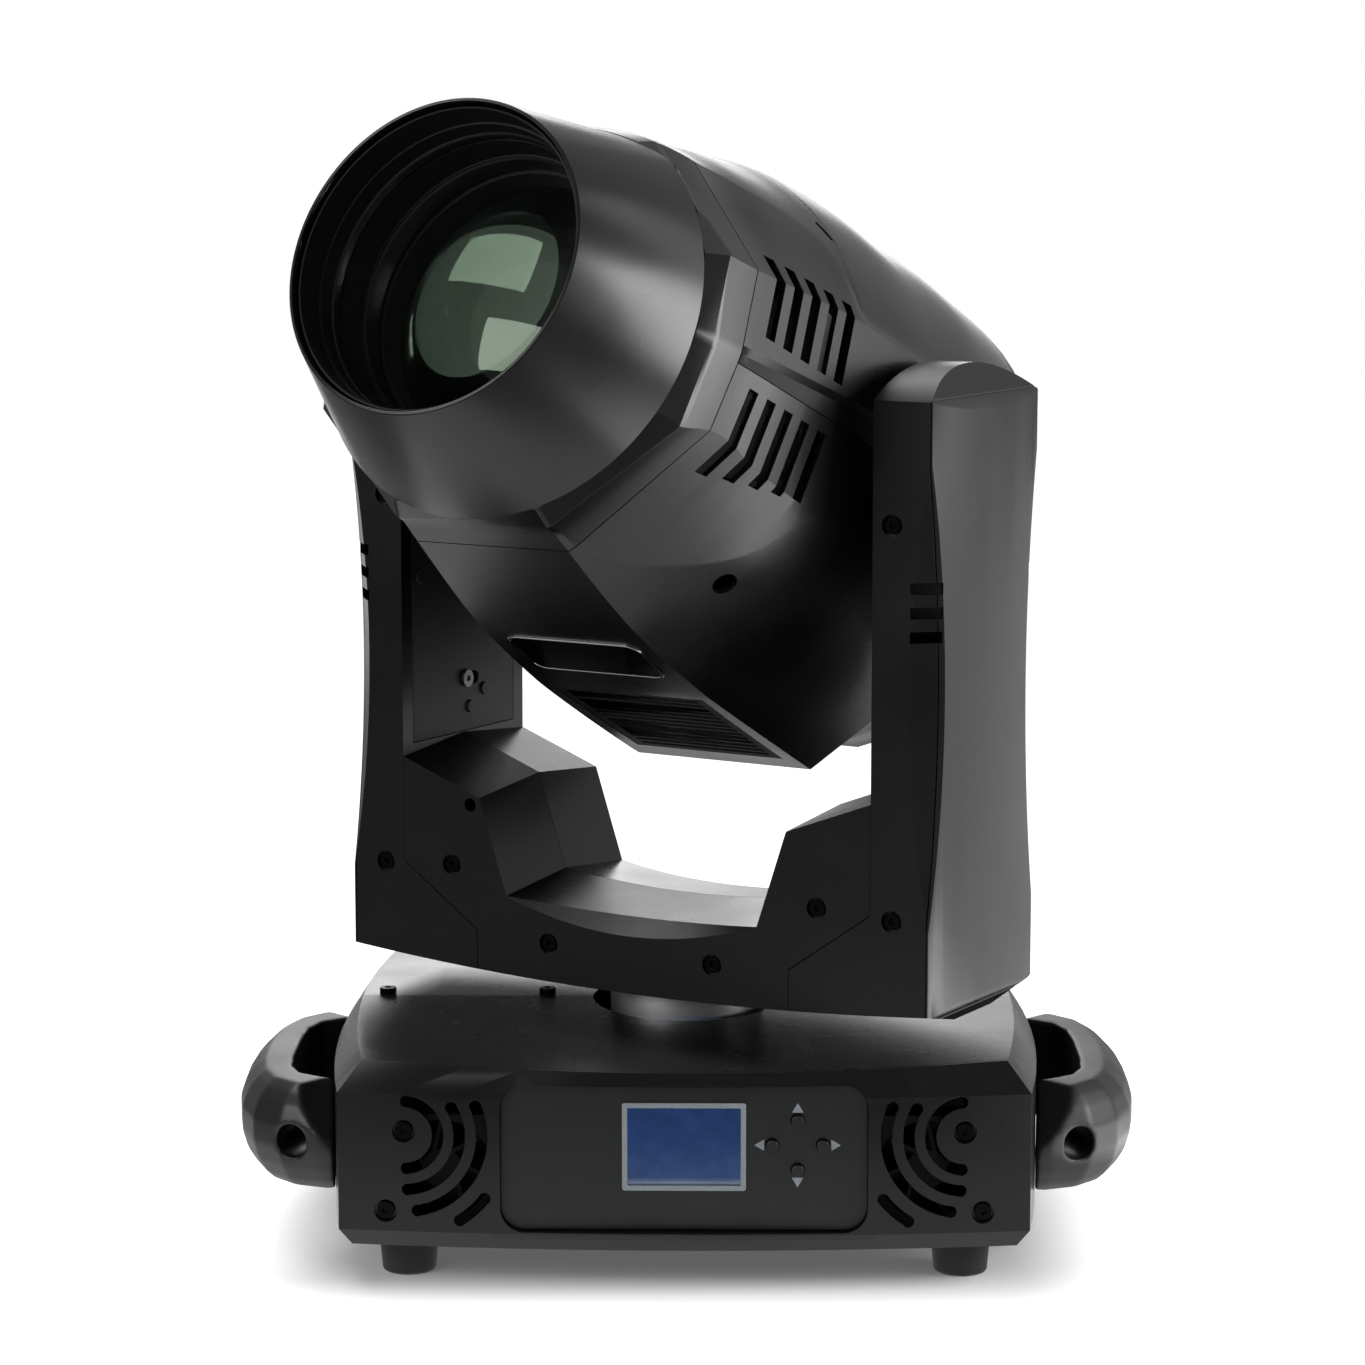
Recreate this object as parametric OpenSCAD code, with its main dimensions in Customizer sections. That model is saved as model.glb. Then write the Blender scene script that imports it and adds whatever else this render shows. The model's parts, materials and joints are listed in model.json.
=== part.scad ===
// Moving head light: a base with handles, a panning yoke and a tilting head.
// Millimetres. +Z up, +X right, the control panel faces -Y.
// The origin is on the floor under the middle of the whole light, pan_y in front of the pan axis.

/* [Pose] */
// Pan of the yoke as built, degrees
pan_rest = -30.4; // [-180:0.1:180]
// Tilt of the head from straight up, degrees
tilt_rest = 66.2; // [-135:0.1:135]

/* [Base] */
// Half width over the front corners
base_hw = 185; // [165:1:205]
// Half depth over the corners
base_hd = 147; // [130:1:165]
// Bulge of the front and rear faces
base_bow_y = 12; // [0:1:20]
// Bulge of the sides
base_bow_x = 11; // [0:1:20]
// Height of the feet
foot_h = 22; // [15:1:30]
// Top of the straight walls
base_wall_z = 107; // [95:1:115]
// Top of the deck
base_top_z = 126; // [118:1:135]
// Reach of a handle from the pan axis
handle_x = 252; // [232:1:268]
// Wall of the moulded covers
wall = 3; // [2:0.5:5]

/* [Controls] */
// Width of the display window
lcd_w = 60; // [50:1:70]
// Height of the display window
lcd_h = 42; // [36:1:50]
// Radius of a push button
button_r = 3.3; // [2.5:0.1:4.5]
// Distance of a button from the middle of its group
button_pitch = 13.5; // [11:0.5:16]

/* [Yoke] */
// Inner face of each arm from the middle
arm_x = 151; // [140:1:165]
// Half depth of the yoke
yoke_hd = 62; // [50:1:75]
// Underside of the yoke
yoke_z = 139; // [134:1:146]
// Top of the arms
arm_top = 492; // [470:1:510]
// Height of the tilt axis
tilt_z = 444.6; // [420:0.1:460]
// Outermost bulge of an arm cover
arm_out = 190; // [186:1:200]

/* [Head] */
// Distance of the hood rim from the tilt axis
rim_z = 271; // [250:1:290]
// Radius of the hood rim
rim_r = 84.8; // [75:0.1:95]
// Length of the hood
hood_len = 77; // [60:1:90]
// Radius of the hood at its root
hood_r = 113.5; // [105:0.5:118]
// How far the top of the root is drawn in
hood_drop = 10.5; // [0:0.5:14]
// Radius of the front lens
lens_r = 74; // [65:1:78]
// Radius of the curve of the front lens
lens_cap = 112; // [95:1:160]

/* [Hidden] */
$fn = 64;
pan_y = 12;
root_z = rim_z - hood_len;
lip_z = root_z - 10;
seam_z = lip_z - 23;
tail_z = -230;
part_y = -12;
side_y = -8;
front_r = 648.5;
front_c = 494.9;
panel_y = -(base_hd + 2.5);
dome_r = 121.6;
dome_c = arm_top - dome_r;
roof = 5.8 / yoke_hd;
bulge = 4;
bulge_r = (yoke_hd * yoke_hd + bulge * bulge) / (2 * bulge);
scoop_r = 900;
keel_r = 2025;
bar_z = 180.5;
bar_hw = 81.3;
hub_top = 155;
pan_pulley_r = 78;
pan_motor_x = 125;
tilt_pulley_r = 36;
tilt_motor_z = 194;
small_r = 12;
deck_fall = 0.034;
slot_w = 6.2;
hood_wall = 1.8;
crown_r = 162;
lock_pivot = [5.8, 280.1];
lock_knob = [1.8, 297.1];
front_screws = [[149.5, 87], [159.5, 43]];
deck_screws = [79.4, 170.5];
yoke_screw_xz = [[163.8, 198], [118.3, 200.5], [53.1, 161.8], [162.4, 409.7]];

// Placing
module placed() { translate([0, pan_y, 0]) children(); }
module pose_yoke() { rotate([0, 0, pan_rest]) children(); }
module pose_head() { pose_yoke() translate([0, 0, tilt_z]) rotate([tilt_rest, 0, 0]) children(); }
module both_x() { children(); mirror([1, 0, 0]) children(); }
module both_y() { children(); mirror([0, 1, 0]) children(); }
// A cylinder along Y from y0 to y1, or along X from x0 to x1
module rod_y(x, z, r, y0, y1) { translate([x, y0, z]) rotate([-90, 0, 0]) cylinder(r = r, h = y1 - y0); }
module rod_x(y, z, r, x0, x1) { translate([x0, y, z]) rotate([0, 90, 0]) cylinder(r = r, h = x1 - x0); }
// A rounded plate in the XZ plane from y0 to y1
module plate_y(x0, x1, z0, z1, r, y0, y1) {
    translate([0, y1, 0]) rotate([90, 0, 0]) linear_extrude(y1 - y0) rounded(x0, x1, z0, z1, r);
}
module rounded(x0, x1, y0, y1, r) {
    union() {
        translate([x0 + r, y0]) square([x1 - x0 - 2 * r, y1 - y0]);
        translate([x0, y0 + r]) square([x1 - x0, y1 - y0 - 2 * r]);
        for (x = [x0 + r, x1 - r], y = [y0 + r, y1 - r]) translate([x, y]) circle(r);
    }
}
module belt(r1, r2, d, t, h) {
    linear_extrude(h) difference() {
        hull() { circle(r1 + 0.5 + t, $fn = 96); translate([d, 0]) circle(r2 + 0.5 + t, $fn = 48); }
        hull() { circle(r1 + 0.5, $fn = 96); translate([d, 0]) circle(r2 + 0.5, $fn = 48); }
    }
}
// An axial fan rotor on Z from 0 to h
module rotor(r, h, blades) {
    union() {
        cylinder(r = r * 0.42, h = h);
        intersection() {
            cylinder(r = r, h = h);
            for (i = [0:blades - 1]) rotate([0, 0, i * 360 / blades]) translate([r * 0.3, 0, h / 2])
                rotate([40, 0, 0]) translate([0, -0.8, -h]) cube([r, 1.6, 2 * h]);
        }
    }
}

// Base outline with bulged sides, counter-clockwise from the front left corner
function bow(hw, hd, by, bx, n = 12) = concat(
    [for (i = [0:n - 1]) let (x = -hw + 2 * hw * i / n) [x, -hd - by * (1 - pow(x / hw, 2))]],
    [for (i = [0:n - 1]) let (y = -hd + 2 * hd * i / n) [hw + bx * (1 - pow(y / hd, 2)), y]],
    [for (i = [0:n - 1]) let (x = hw - 2 * hw * i / n) [x, hd + by * (1 - pow(x / hw, 2))]],
    [for (i = [0:n - 1]) let (y = hd - 2 * hd * i / n) [-hw - bx * (1 - pow(y / hd, 2)), y]]);
function face_y(x) = -base_hd - base_bow_y * (1 - pow(x / base_hw, 2));
// The base body as rings of the outline, drawn in by t; the front half of the deck falls away gently
module base_form(t) {
    n = 48;
    side = bow(base_hw - t, base_hd - t, base_bow_y, base_bow_x);
    rings = [bow(base_hw - 6.5 - t, base_hd - 6.5 - t, base_bow_y, base_bow_x), side, side,
        bow(base_hw - 12 - t, base_hd - 15.5 - t, 26.5, base_bow_x)];
    zs = [t > 0 ? foot_h - 3 : foot_h, foot_h + 10, base_wall_z, base_top_z - t];
    polyhedron(
        points = [for (j = [0:3]) for (p = rings[j])
            [p[0], p[1], zs[j] + (j == 3 ? min(p[1], 0) * deck_fall : 0)]],
        faces = concat(
            [[for (i = [0:n - 1]) i]],
            [for (j = [0:2], i = [0:n - 1]) [j * n + i, (j + 1) * n + i, (j + 1) * n + (i + 1) % n]],
            [for (j = [0:2], i = [0:n - 1]) [j * n + i, (j + 1) * n + (i + 1) % n, j * n + (i + 1) % n]],
            [[for (i = [42:-1:18]) 3 * n + i]],
            [[for (i = [18:-1:-6]) 3 * n + (i + n) % n]]));
}
module base_shell() { difference() { base_form(0); base_form(wall); } }
// What belongs to the front or rear panel, with a gap g; s is 1 for the front
module panel_zone(s, g) {
    mirror([0, s > 0 ? 0 : 1, 0]) {
        difference() {
            translate([-300, -300, 0]) cube([600, 300, 200]);
            translate([0, front_c, -10]) cylinder(r = front_r - g, h = 300, $fn = 720);
        }
        translate([-300, -300, 0]) cube([600, 173 + g, 117 + g]);
    }
}
module arc_slot(r, a0, a1, w) {
    rotate([90, 0, 0]) {
        rotate([0, 0, a0]) rotate_extrude(angle = a1 - a0) translate([r - w / 2, 130]) square([w, 40]);
        for (a = [a0, a1]) rotate([0, 0, a]) translate([r, 0, 130]) cylinder(r = w / 2 + 0.15, h = 40);
    }
}

module base_chassis() {
    color("#6b6e72") difference() {
        union() {
            translate([-168, -130, foot_h]) cube([336, 260, 3]);
            // Bridge that carries the pan bearing
            translate([-64, -95, 93]) cube([128, 190, 4]);
            for (s = [-1, 1]) translate([-64, s * 93.5 - 1.5, foot_h + 2]) cube([128, 3, 72]);
            // Shelf that carries the pan motor
            translate([pan_motor_x - 31, -31, 72]) cube([62, 62, 3]);
            for (s = [-1, 1]) translate([pan_motor_x + 3, s * 29.5 - 1.5, foot_h + 2]) cube([28, 3, 51]);
            // Posts under the outer deck screws
            for (s = [-1, 1]) translate([s * deck_screws[1], 9, foot_h + 1])
                cylinder(r = 4.5, h = base_top_z - 12 - foot_h - 1);
        }
        translate([0, 0, 80]) cylinder(r = 50, h = 30);
        translate([pan_motor_x, 0, 60]) cylinder(r = 9, h = 30);
        for (x = [-53, 53], y = [-115, 115]) translate([x, y, foot_h - 1]) cylinder(r = 5.25, h = 6);
    }
}

module base_front_panel() {
    color("#17181a") difference() {
        union() {
            intersection() { base_shell(); panel_zone(1, 0); }
            intersection() {
                base_form(0.02);
                union() {
                    translate([-102, -170, 29]) cube([204, 170 + panel_y + wall, 87]);
                    for (p = front_screws, s = [-1, 1]) rod_y(s * p[0], p[1], 8.5, -160, face_y(p[0]) + 11);
                }
            }
        }
        plate_y(-98, 98, 33, 113, 13, -180, panel_y);
        plate_y(-92, 92, 39, 107, 8, -180, -100);
        both_x() translate([-149.5, 0, 85]) {
            arc_slot(18.4, -85, 85, slot_w);
            arc_slot(30, -86, 31, slot_w);
            arc_slot(42, -80, 23, slot_w);
            arc_slot(55, -57, -38, slot_w);
        }
        for (p = front_screws, s = [-1, 1]) {
            rod_y(s * p[0], p[1], 6.2, -180, face_y(p[0]) + 4);
            rod_y(s * p[0], p[1], 2.7, -180, -120);
        }
    }
}

module deck_holes() {
    translate([0, 0, 90]) cylinder(r = 53, h = 60);
    for (x = deck_screws, s = [-1, 1]) translate([s * x, 9, base_top_z - 30]) cylinder(r = 2.7, h = 40);
}

module base_top_cover_front() {
    color("#1b1c1e") difference() {
        base_shell();
        panel_zone(1, 0.4);
        translate([-300, -0.2, -10]) cube([600, 400, 200]);
        deck_holes();
    }
}

module base_top_cover_rear() {
    color("#1b1c1e") difference() {
        union() {
            base_shell();
            for (x = deck_screws, s = [-1, 1]) translate([s * x, 9, base_top_z - 12])
                cylinder(r = 8, h = 10);
        }
        panel_zone(-1, 0.4);
        translate([-300, -399.8, -10]) cube([600, 400, 200]);
        deck_holes();
    }
}

module base_rear_panel() {
    color("#17181a") difference() {
        union() {
            intersection() { base_shell(); panel_zone(-1, 0); }
            intersection() {
                base_form(0.02);
                translate([-102, -panel_y - wall, 29]) cube([204, 40, 87]);
            }
        }
        plate_y(-98, 98, 33, 113, 13, -panel_y, 200);
        rod_y(-66, 74, 12.2, 100, 200);
        rod_y(-24, 74, 7.2, 100, 200);
        for (x = [22, 64]) rod_y(x, 74, 12.2, 100, 200);
    }
}

module lcd_hole() {
    translate([-lcd_w / 2 - 0.2, panel_y - 5, 79 - lcd_h / 2 - 0.2]) cube([lcd_w + 0.4, 10, lcd_h + 0.4]);
}
module control_panel() {
    color("#0f1012") difference() {
        plate_y(-97.6, 97.6, 33.4, 112.6, 12.6, panel_y - 2, panel_y);
        lcd_hole();
        for (a = [0, 90, 180, 270])
            rod_y(60.5 + button_pitch * cos(a), 80 + button_pitch * sin(a), button_r + 0.35,
                panel_y - 5, panel_y + 5);
    }
}

module display_bezel() {
    color("#9a9fa3") difference() {
        plate_y(-33, 33, 55, 103, 1.5, panel_y - 3, panel_y - 2);
        lcd_hole();
    }
}

module display_module() {
    color("#2347b8") union() {
        translate([-lcd_w / 2, panel_y - 2.4, 79 - lcd_h / 2]) cube([lcd_w, 4.9, lcd_h]);
        translate([-86, panel_y + 2.4, 44]) cube([172, 1.6, 60]);
    }
}

module button(x, z) {
    color("#1d1e20") union() {
        rod_y(x, z, button_r, panel_y - 4.6, panel_y + 1.3);
        rod_y(x, z, button_r + 0.9, panel_y + 0.4, panel_y + 1.3);
    }
}
module button_up() { button(60.5, 80 + button_pitch); }
module button_down() { button(60.5, 80 - button_pitch); }
module button_left() { button(60.5 - button_pitch, 80); }
module button_right() { button(60.5 + button_pitch, 80); }

// Half plan of a handle from its strut to its middle, from the reach: x, y and the way it draws in
handle_plan = [[-52, 106, 0.2, 0.98], [-30, 97, 0.55, 0.83], [-14, 80, 0.8, 0.6], [-5, 56, 0.95, 0.3],
    [-1, 28, 0.99, 0.12], [0, 0, 1, 0]];
// Heights of a handle and how far its plan is drawn in there
handle_rise = [[96.5, 15], [92, 9], [86, 4], [76, 0], [62, 0], [52, 3], [44, 8], [38.5, 14]];
function handle_ring(d) = let (
        h = [for (p = handle_plan) [handle_x + p[0] - d * p[2], p[1] - d * p[3]]],
        n = len(h))
    concat([[170, 107 - d]], h, [for (i = [n - 2:-1:0]) [h[i][0], -h[i][1]]], [[170, d - 107]]);
module handle() {
    difference() {
        loft([for (r = handle_rise) r[0]], [for (r = handle_rise) handle_ring(r[1])]);
        translate([handle_x, 0, 10]) linear_extrude(120)
            polygon([[-92, -72], [-52, -70], [-38, -60], [-32, -44], [-30.5, -20], [-30.5, 20], [-32, 44],
                [-38, 60], [-52, 70], [-92, 72]]);
        base_form(-0.2);
        // Slanted relief at the root of each strut, and the hole through the front one
        both_y() translate([handle_x - 30, -97, 96]) rotate([0, 46.7, -135])
            translate([-60, -60, 0]) cube([120, 120, 60]);
        translate([handle_x - 38, -95, 67]) rotate([90, 0, 20]) cylinder(r = 9.3, h = 80, center = true);
    }
}
module handle_right() { color("#222326") handle(); }
module handle_left() { color("#222326") mirror([1, 0, 0]) handle(); }

module base_feet() {
    color("#101010") for (x = [-150, 150], y = [-112, 112]) translate([x, y, 0])
        cylinder(r1 = 14.5, r2 = 16.5, h = foot_h);
}

module screw_y(x, z, y) {
    difference() {
        union() {
            rod_y(x, z, 4.75, y - 2.8, y);
            rod_y(x, z, 2.5, y - 0.1, y + 6);
        }
        translate([x, y - 1.2, z]) rotate([90, 0, 0]) cylinder(r = 1.9, h = 5, $fn = 6);
    }
}

module base_screws() {
    color("#0b0b0c") {
        for (p = front_screws, s = [-1, 1]) screw_y(s * p[0], p[1], face_y(p[0]) + 4);
        for (x = deck_screws, s = [-1, 1]) translate([s * x, 9, base_top_z]) rotate([-90, 0, 0])
            screw_y(0, 0, 0);
    }
}

module pan_bearing() {
    color("#c9ccd0") difference() {
        translate([0, 0, 97]) cylinder(r = 58, h = 14);
        translate([0, 0, 90]) cylinder(r = 40.05, h = 30);
    }
}

module motor_body(l) {
    difference() {
        translate([-28, -28, 0]) cube([56, 56, l]);
        translate([0, 0, -1]) cylinder(r = 4.4, h = 12);
    }
}
module motor_pulley(z0, z1, top) {
    union() {
        translate([0, 0, z0]) cylinder(r = small_r, h = z1 - z0);
        translate([0, 0, z0 - 1]) cylinder(r = small_r + 1.5, h = 1);
        translate([0, 0, z1 - 0.5]) cylinder(r = 4, h = top - z1 + 0.5);
    }
}
module pan_motor() { color("#2b2c2f") translate([pan_motor_x, 0, 75]) motor_body(42); }
module pan_motor_pulley() { color("#b9bcc0") translate([pan_motor_x, 0, 0]) motor_pulley(54, 69, 80); }
module pan_belt() {
    color("#151515") translate([0, 0, 56]) belt(pan_pulley_r, small_r, pan_motor_x, 1.8, 12);
}

module power_supply() {
    color("#a9adb1") union() {
        translate([-152, -84, foot_h + 3]) cube([56, 160, 42]);
        translate([-150, -82, foot_h + 44.9]) cube([52, 156, 1.1]);
    }
}

module base_fan_frames() {
    color("#1a1a1a") both_x() difference() {
        translate([100, -139, foot_h + 3]) cube([60, 20, 68]);
        rod_y(130, 63, 27, -150, -100);
    }
}
module base_fan() { translate([130, -137, 63]) rotate([-90, 0, 0]) rotor(25.5, 15, 7); }
module base_fan_right() { color("#0f0f10") base_fan(); }
module base_fan_left() { color("#0f0f10") mirror([1, 0, 0]) base_fan(); }

module socket(x, r, depth, pins) {
    difference() {
        union() {
            translate([x - 13, -panel_y, 74 - 15.5]) cube([26, 2.5, 31]);
            rod_y(x, 74, r, -panel_y - 24, -panel_y + 0.5);
        }
        rod_y(x, 74, r - 2.4, -panel_y + 2.5 - depth, -panel_y + 5);
    }
    for (i = [0:pins - 1]) rod_y(x + 5 * cos(i * 360 / pins + 30), 74 + 5 * sin(i * 360 / pins + 30), 1.1,
        -panel_y + 2.4 - depth, -panel_y - 4);
}
module power_inlet() {
    color("#2f5fae") union() {
        socket(-66, 12, 20, 3);
        rod_y(-24, 74, 7, -panel_y - 30, -panel_y + 1);
        rod_y(-24, 74, 9, -panel_y, -panel_y + 4);
    }
}
module control_sockets() { color("#8d9195") { socket(22, 12, 16, 5); socket(64, 12, 16, 5); } }

// Yoke
// The underside: each edge is arched and falls inward to the flat middle
module keel_side(t) {
    translate([0, -yoke_hd, yoke_z + 0.5 + t]) rotate([-12.4, 0, 0]) translate([0, 0, keel_r])
        rotate([90, 0, 0]) cylinder(r = keel_r, h = 800, center = true, $fn = 1440);
}
module keel(t) { intersection() { keel_side(t); mirror([0, 1, 0]) keel_side(t); } }
module arm_facet(x, z, a) {
    translate([x, 0, z]) rotate([0, a, 0]) translate([-600, -200, -600]) cube([600, 400, 1200]);
}
module arm_form(t) {
    difference() {
        intersection() {
            translate([arm_x + t, -yoke_hd + t, yoke_z + t]) cube([70, 2 * yoke_hd - 2 * t, 400]);
            keel(t);
            union() {
                rod_x(0, dome_c, dome_r - t, 120, 230);
                translate([120, -100, 100]) cube([110, 200, dome_c - 100]);
            }
            translate([arm_out - bulge_r, 0, 0]) cylinder(r = bulge_r - t, h = 600, $fn = 720);
            arm_facet(arm_out - t, 467.5, -31.2);
            arm_facet(arm_out - t, 153, 31.4);
        }
        both_y() translate([arm_out - bulge, -yoke_hd, 318]) rotate([0, 0, -45])
            translate([scoop_r - 8.6, 0, 0]) rotate([90, 0, 0])
            cylinder(r = scoop_r + t, h = 300, center = true, $fn = 1440);
    }
}
module corner_slots() {
    both_y() for (z = [351, 364, 377]) translate([arm_out - bulge - 6.1, -yoke_hd + 6.1, z])
        rotate([0, 0, -45]) cube([14, 17.5, 6.2], center = true);
}
module yoke_hole(p) {
    both_y() {
        rod_y(p[0], p[1], 6, -yoke_hd - 5, -yoke_hd + 3.5);
        rod_y(p[0], p[1], 2.7, -yoke_hd - 5, -yoke_hd + 20);
    }
}
module yoke_boss(p) { both_y() rod_y(p[0], p[1], 8, -yoke_hd + 0.5, -yoke_hd + 10); }

module arm_housing() {
    difference() {
        union() {
            difference() {
                union() {
                    intersection() { arm_form(0); translate([0, -100, 0]) cube([184.6, 200, 600]); }
                    intersection() {
                        translate([0, yoke_hd, 0]) rotate([90, 0, 0]) linear_extrude(2 * yoke_hd)
                            polygon([[101.4, yoke_z], [arm_x + 1, yoke_z], [arm_x + 1, 200.2],
                                [101.4, 164.6]]);
                        keel(0);
                    }
                }
                arm_form(wall);
                intersection() {
                    translate([90, -yoke_hd + wall, yoke_z + wall])
                        cube([arm_x - 84, 2 * (yoke_hd - wall), 93]);
                    keel(wall);
                }
                translate([arm_x - 2, -52, 266]) cube([8, 104, 196]);
                rod_x(0, tilt_z, 37, arm_x - 2, arm_x + 6);
                corner_slots();
            }
            yoke_boss(yoke_screw_xz[0]);
            yoke_boss(yoke_screw_xz[3]);
        }
        yoke_hole(yoke_screw_xz[0]);
        yoke_hole(yoke_screw_xz[3]);
    }
}
module arm_housing_right() { color("#1a1b1d") pose_yoke() arm_housing(); }
module arm_housing_left() { color("#1a1b1d") pose_yoke() mirror([1, 0, 0]) arm_housing(); }

module arm_cover() {
    difference() {
        intersection() { arm_form(0); translate([185.2, -100, 0]) cube([60, 200, 600]); }
        arm_form(wall);
        corner_slots();
    }
}
module arm_cover_right() { color("#26272a") pose_yoke() arm_cover(); }
module arm_cover_left() { color("#26272a") pose_yoke() mirror([1, 0, 0]) arm_cover(); }

module arm_plate() {
    difference() {
        translate([arm_x, -51.6, 266.4]) cube([2, 103.2, 195.2]);
        rod_x(0, tilt_z, 37, 140, 170);
    }
}
module arm_plate_right() { color("#2b2d31") pose_yoke() arm_plate(); }
module lock_slot(w) {
    d = lock_knob - lock_pivot;
    r = norm(d);
    a = atan2(d[1], d[0]);
    translate([0, lock_pivot[0], lock_pivot[1]]) rotate([90, 0, 90]) {
        rotate([0, 0, a - 32]) rotate_extrude(angle = 34) translate([r - w / 2, -170]) square([w, 340]);
        for (b = [a + 2, a - 32]) rotate([0, 0, b]) translate([r, 0, 0])
            cylinder(r = w / 2 + 0.15, h = 340, center = true);
    }
}
module arm_plate_left() {
    color("#2b2d31") pose_yoke() difference() {
        union() {
            mirror([1, 0, 0]) arm_plate();
            rod_x(lock_pivot[0], lock_pivot[1], 3, -arm_x - 6.2, -arm_x - 1);
            for (p = [lock_pivot, [20.5, 288.8], [-43.9, 361]])
                rod_x(p[0], p[1], 3.6, -arm_x - 0.5, -arm_x + 1.4);
        }
        intersection() { lock_slot(7); translate([-170, -100, 200]) cube([40, 200, 200]); }
    }
}
module tilt_lock() {
    color("#b4b7bb") pose_yoke() difference() {
        union() {
            rod_x(lock_pivot[0], lock_pivot[1], 7, -arm_x - 5, -arm_x - 2.5);
            rod_x(lock_knob[0], lock_knob[1], 6, -arm_x - 5, -arm_x - 2.5);
            translate([-arm_x - 5, lock_pivot[0], lock_pivot[1]])
                rotate([atan2(lock_knob[1] - lock_pivot[1], lock_knob[0] - lock_pivot[0]) - 90, 0, 0])
                translate([0, -5, 0]) cube([2.5, 10, norm(lock_knob - lock_pivot)]);
            rod_x(lock_knob[0], lock_knob[1], 3, -arm_x - 3, -arm_x + 0.8);
            rod_x(lock_knob[0], lock_knob[1], 5, -arm_x + 0.6, -arm_x + 2.2);
        }
        rod_x(lock_pivot[0], lock_pivot[1], 3.06, -170, -140);
        translate([-arm_x + 1, lock_knob[0], lock_knob[1]]) rotate([0, 90, 0])
            cylinder(r = 2, h = 4, $fn = 6);
    }
}

// The sagging top of the crossbar from x = hw to -hw, d under its face
function bar_top(hw, d) = [for (i = [8:-1:-8]) let (x = hw * i / 8) [x, bar_z - d + x * x / 1128]];
module bridge_outline() {
    x = arm_x - 0.2;
    polygon(concat([[101, 155], [101, 165], [x, 200], [x, 260], [99.3, 240.6]], bar_top(bar_hw, 0),
        [[-99.3, 240.6], [-x, 260], [-x, 200], [-101, 165], [-101, 155]]));
}
module bridge_room() {
    z0 = yoke_z + wall;
    intersection() {
        translate([0, 5, 0]) rotate([90, 0, 0]) linear_extrude(yoke_hd + 5 - wall)
            polygon(concat([[-160, z0], [160, z0], [160, 257], [150.8, 256.8], [101.6, 238.2]],
                bar_top(bar_hw + 2.1, wall), [[-101.6, 238.2], [-150.8, 256.8], [-160, 257]]));
        keel(wall);
    }
}
module lens_cut(dr) {
    intersection() {
        translate([0, -yoke_hd, 172]) rotate([-45, 0, 0]) translate([0, -325, 0])
            cylinder(r = 325 + dr, h = 400, center = true, $fn = 240);
        translate([-bar_hw + 0.1 - dr, -100, 150]) cube([2 * (bar_hw - 0.1 + dr), 100, 100]);
    }
}
module bridge_half() {
    difference() {
        union() {
            difference() {
                union() {
                    multmatrix([[1, 0, 0, 0], [0, 1, 0, 0], [0, roof, 1, roof * yoke_hd], [0, 0, 0, 1]])
                        translate([0, -0.2, 0]) rotate([90, 0, 0]) linear_extrude(yoke_hd - 0.2)
                            bridge_outline();
                    intersection() {
                        translate([-101, -yoke_hd, yoke_z]) cube([202, yoke_hd - 0.2, 24]);
                        keel(0);
                    }
                }
                difference() { bridge_room(); lens_cut(3.5); }
                lens_cut(0);
            }
            for (i = [1, 2], s = [-1, 1])
                rod_y(s * yoke_screw_xz[i][0], yoke_screw_xz[i][1], 8, -yoke_hd + 0.5, -yoke_hd + 10);
        }
        translate([0, 0, 130]) cylinder(r = 43.5, h = 20);
        both_x() { yoke_hole(yoke_screw_xz[1]); yoke_hole(yoke_screw_xz[2]); }
        rod_y(-105.4, 236.1, 3.8, -yoke_hd - 5, -yoke_hd + 8);
    }
}
module yoke_bridge_front() { color("#1a1b1d") pose_yoke() bridge_half(); }
module yoke_bridge_rear() { color("#1a1b1d") pose_yoke() mirror([0, 1, 0]) bridge_half(); }

module yoke_frame() {
    color("#7d8185") pose_yoke() difference() {
        union() {
            translate([-162, -44, hub_top]) cube([324, 88, 5]);
            both_x() translate([158, -44, hub_top + 0.5]) cube([4, 88, 317]);
        }
        translate([0, 0, 150]) cylinder(r = 30, h = 20);
        rod_x(0, tilt_z, 32, -180, 180);
        rod_x(0, tilt_motor_z, 16, -180, -150);
    }
}
module pan_hub() {
    color("#d5d8db") pose_yoke() difference() {
        union() {
            translate([0, 0, 50]) cylinder(r = 40, h = 64);
            translate([0, 0, 111.4]) cylinder(r = 43, h = 41);
            translate([0, 0, yoke_z + wall]) cylinder(r = 58, h = hub_top - yoke_z - wall);
            translate([0, 0, 54]) cylinder(r = pan_pulley_r, h = 16);
        }
        translate([0, 0, 40]) cylinder(r = 30, h = 130);
    }
}
module tilt_bearings() {
    color("#c9ccd0") pose_yoke() both_x() difference() {
        rod_x(0, tilt_z, 32, 156, 166);
        rod_x(0, tilt_z, 20.05, 150, 170);
    }
}
module yoke_screws() {
    color("#0b0b0c") pose_yoke() both_y() both_x() for (p = yoke_screw_xz)
        screw_y(p[0], p[1], -yoke_hd + 3.5);
}
module tilt_motor() {
    color("#2b2c2f") pose_yoke() translate([-158, 0, tilt_motor_z]) rotate([0, 90, 0]) motor_body(46);
}
module tilt_motor_pulley() {
    color("#b9bcc0") pose_yoke() translate([0, 0, tilt_motor_z]) rotate([0, 90, 0])
        motor_pulley(-177, -167, -152);
}
module tilt_belt() {
    color("#151515") pose_yoke() translate([-176, 0, tilt_z]) rotate([0, 90, 0])
        belt(tilt_pulley_r, small_r, tilt_z - tilt_motor_z, 1.6, 8);
}

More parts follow.
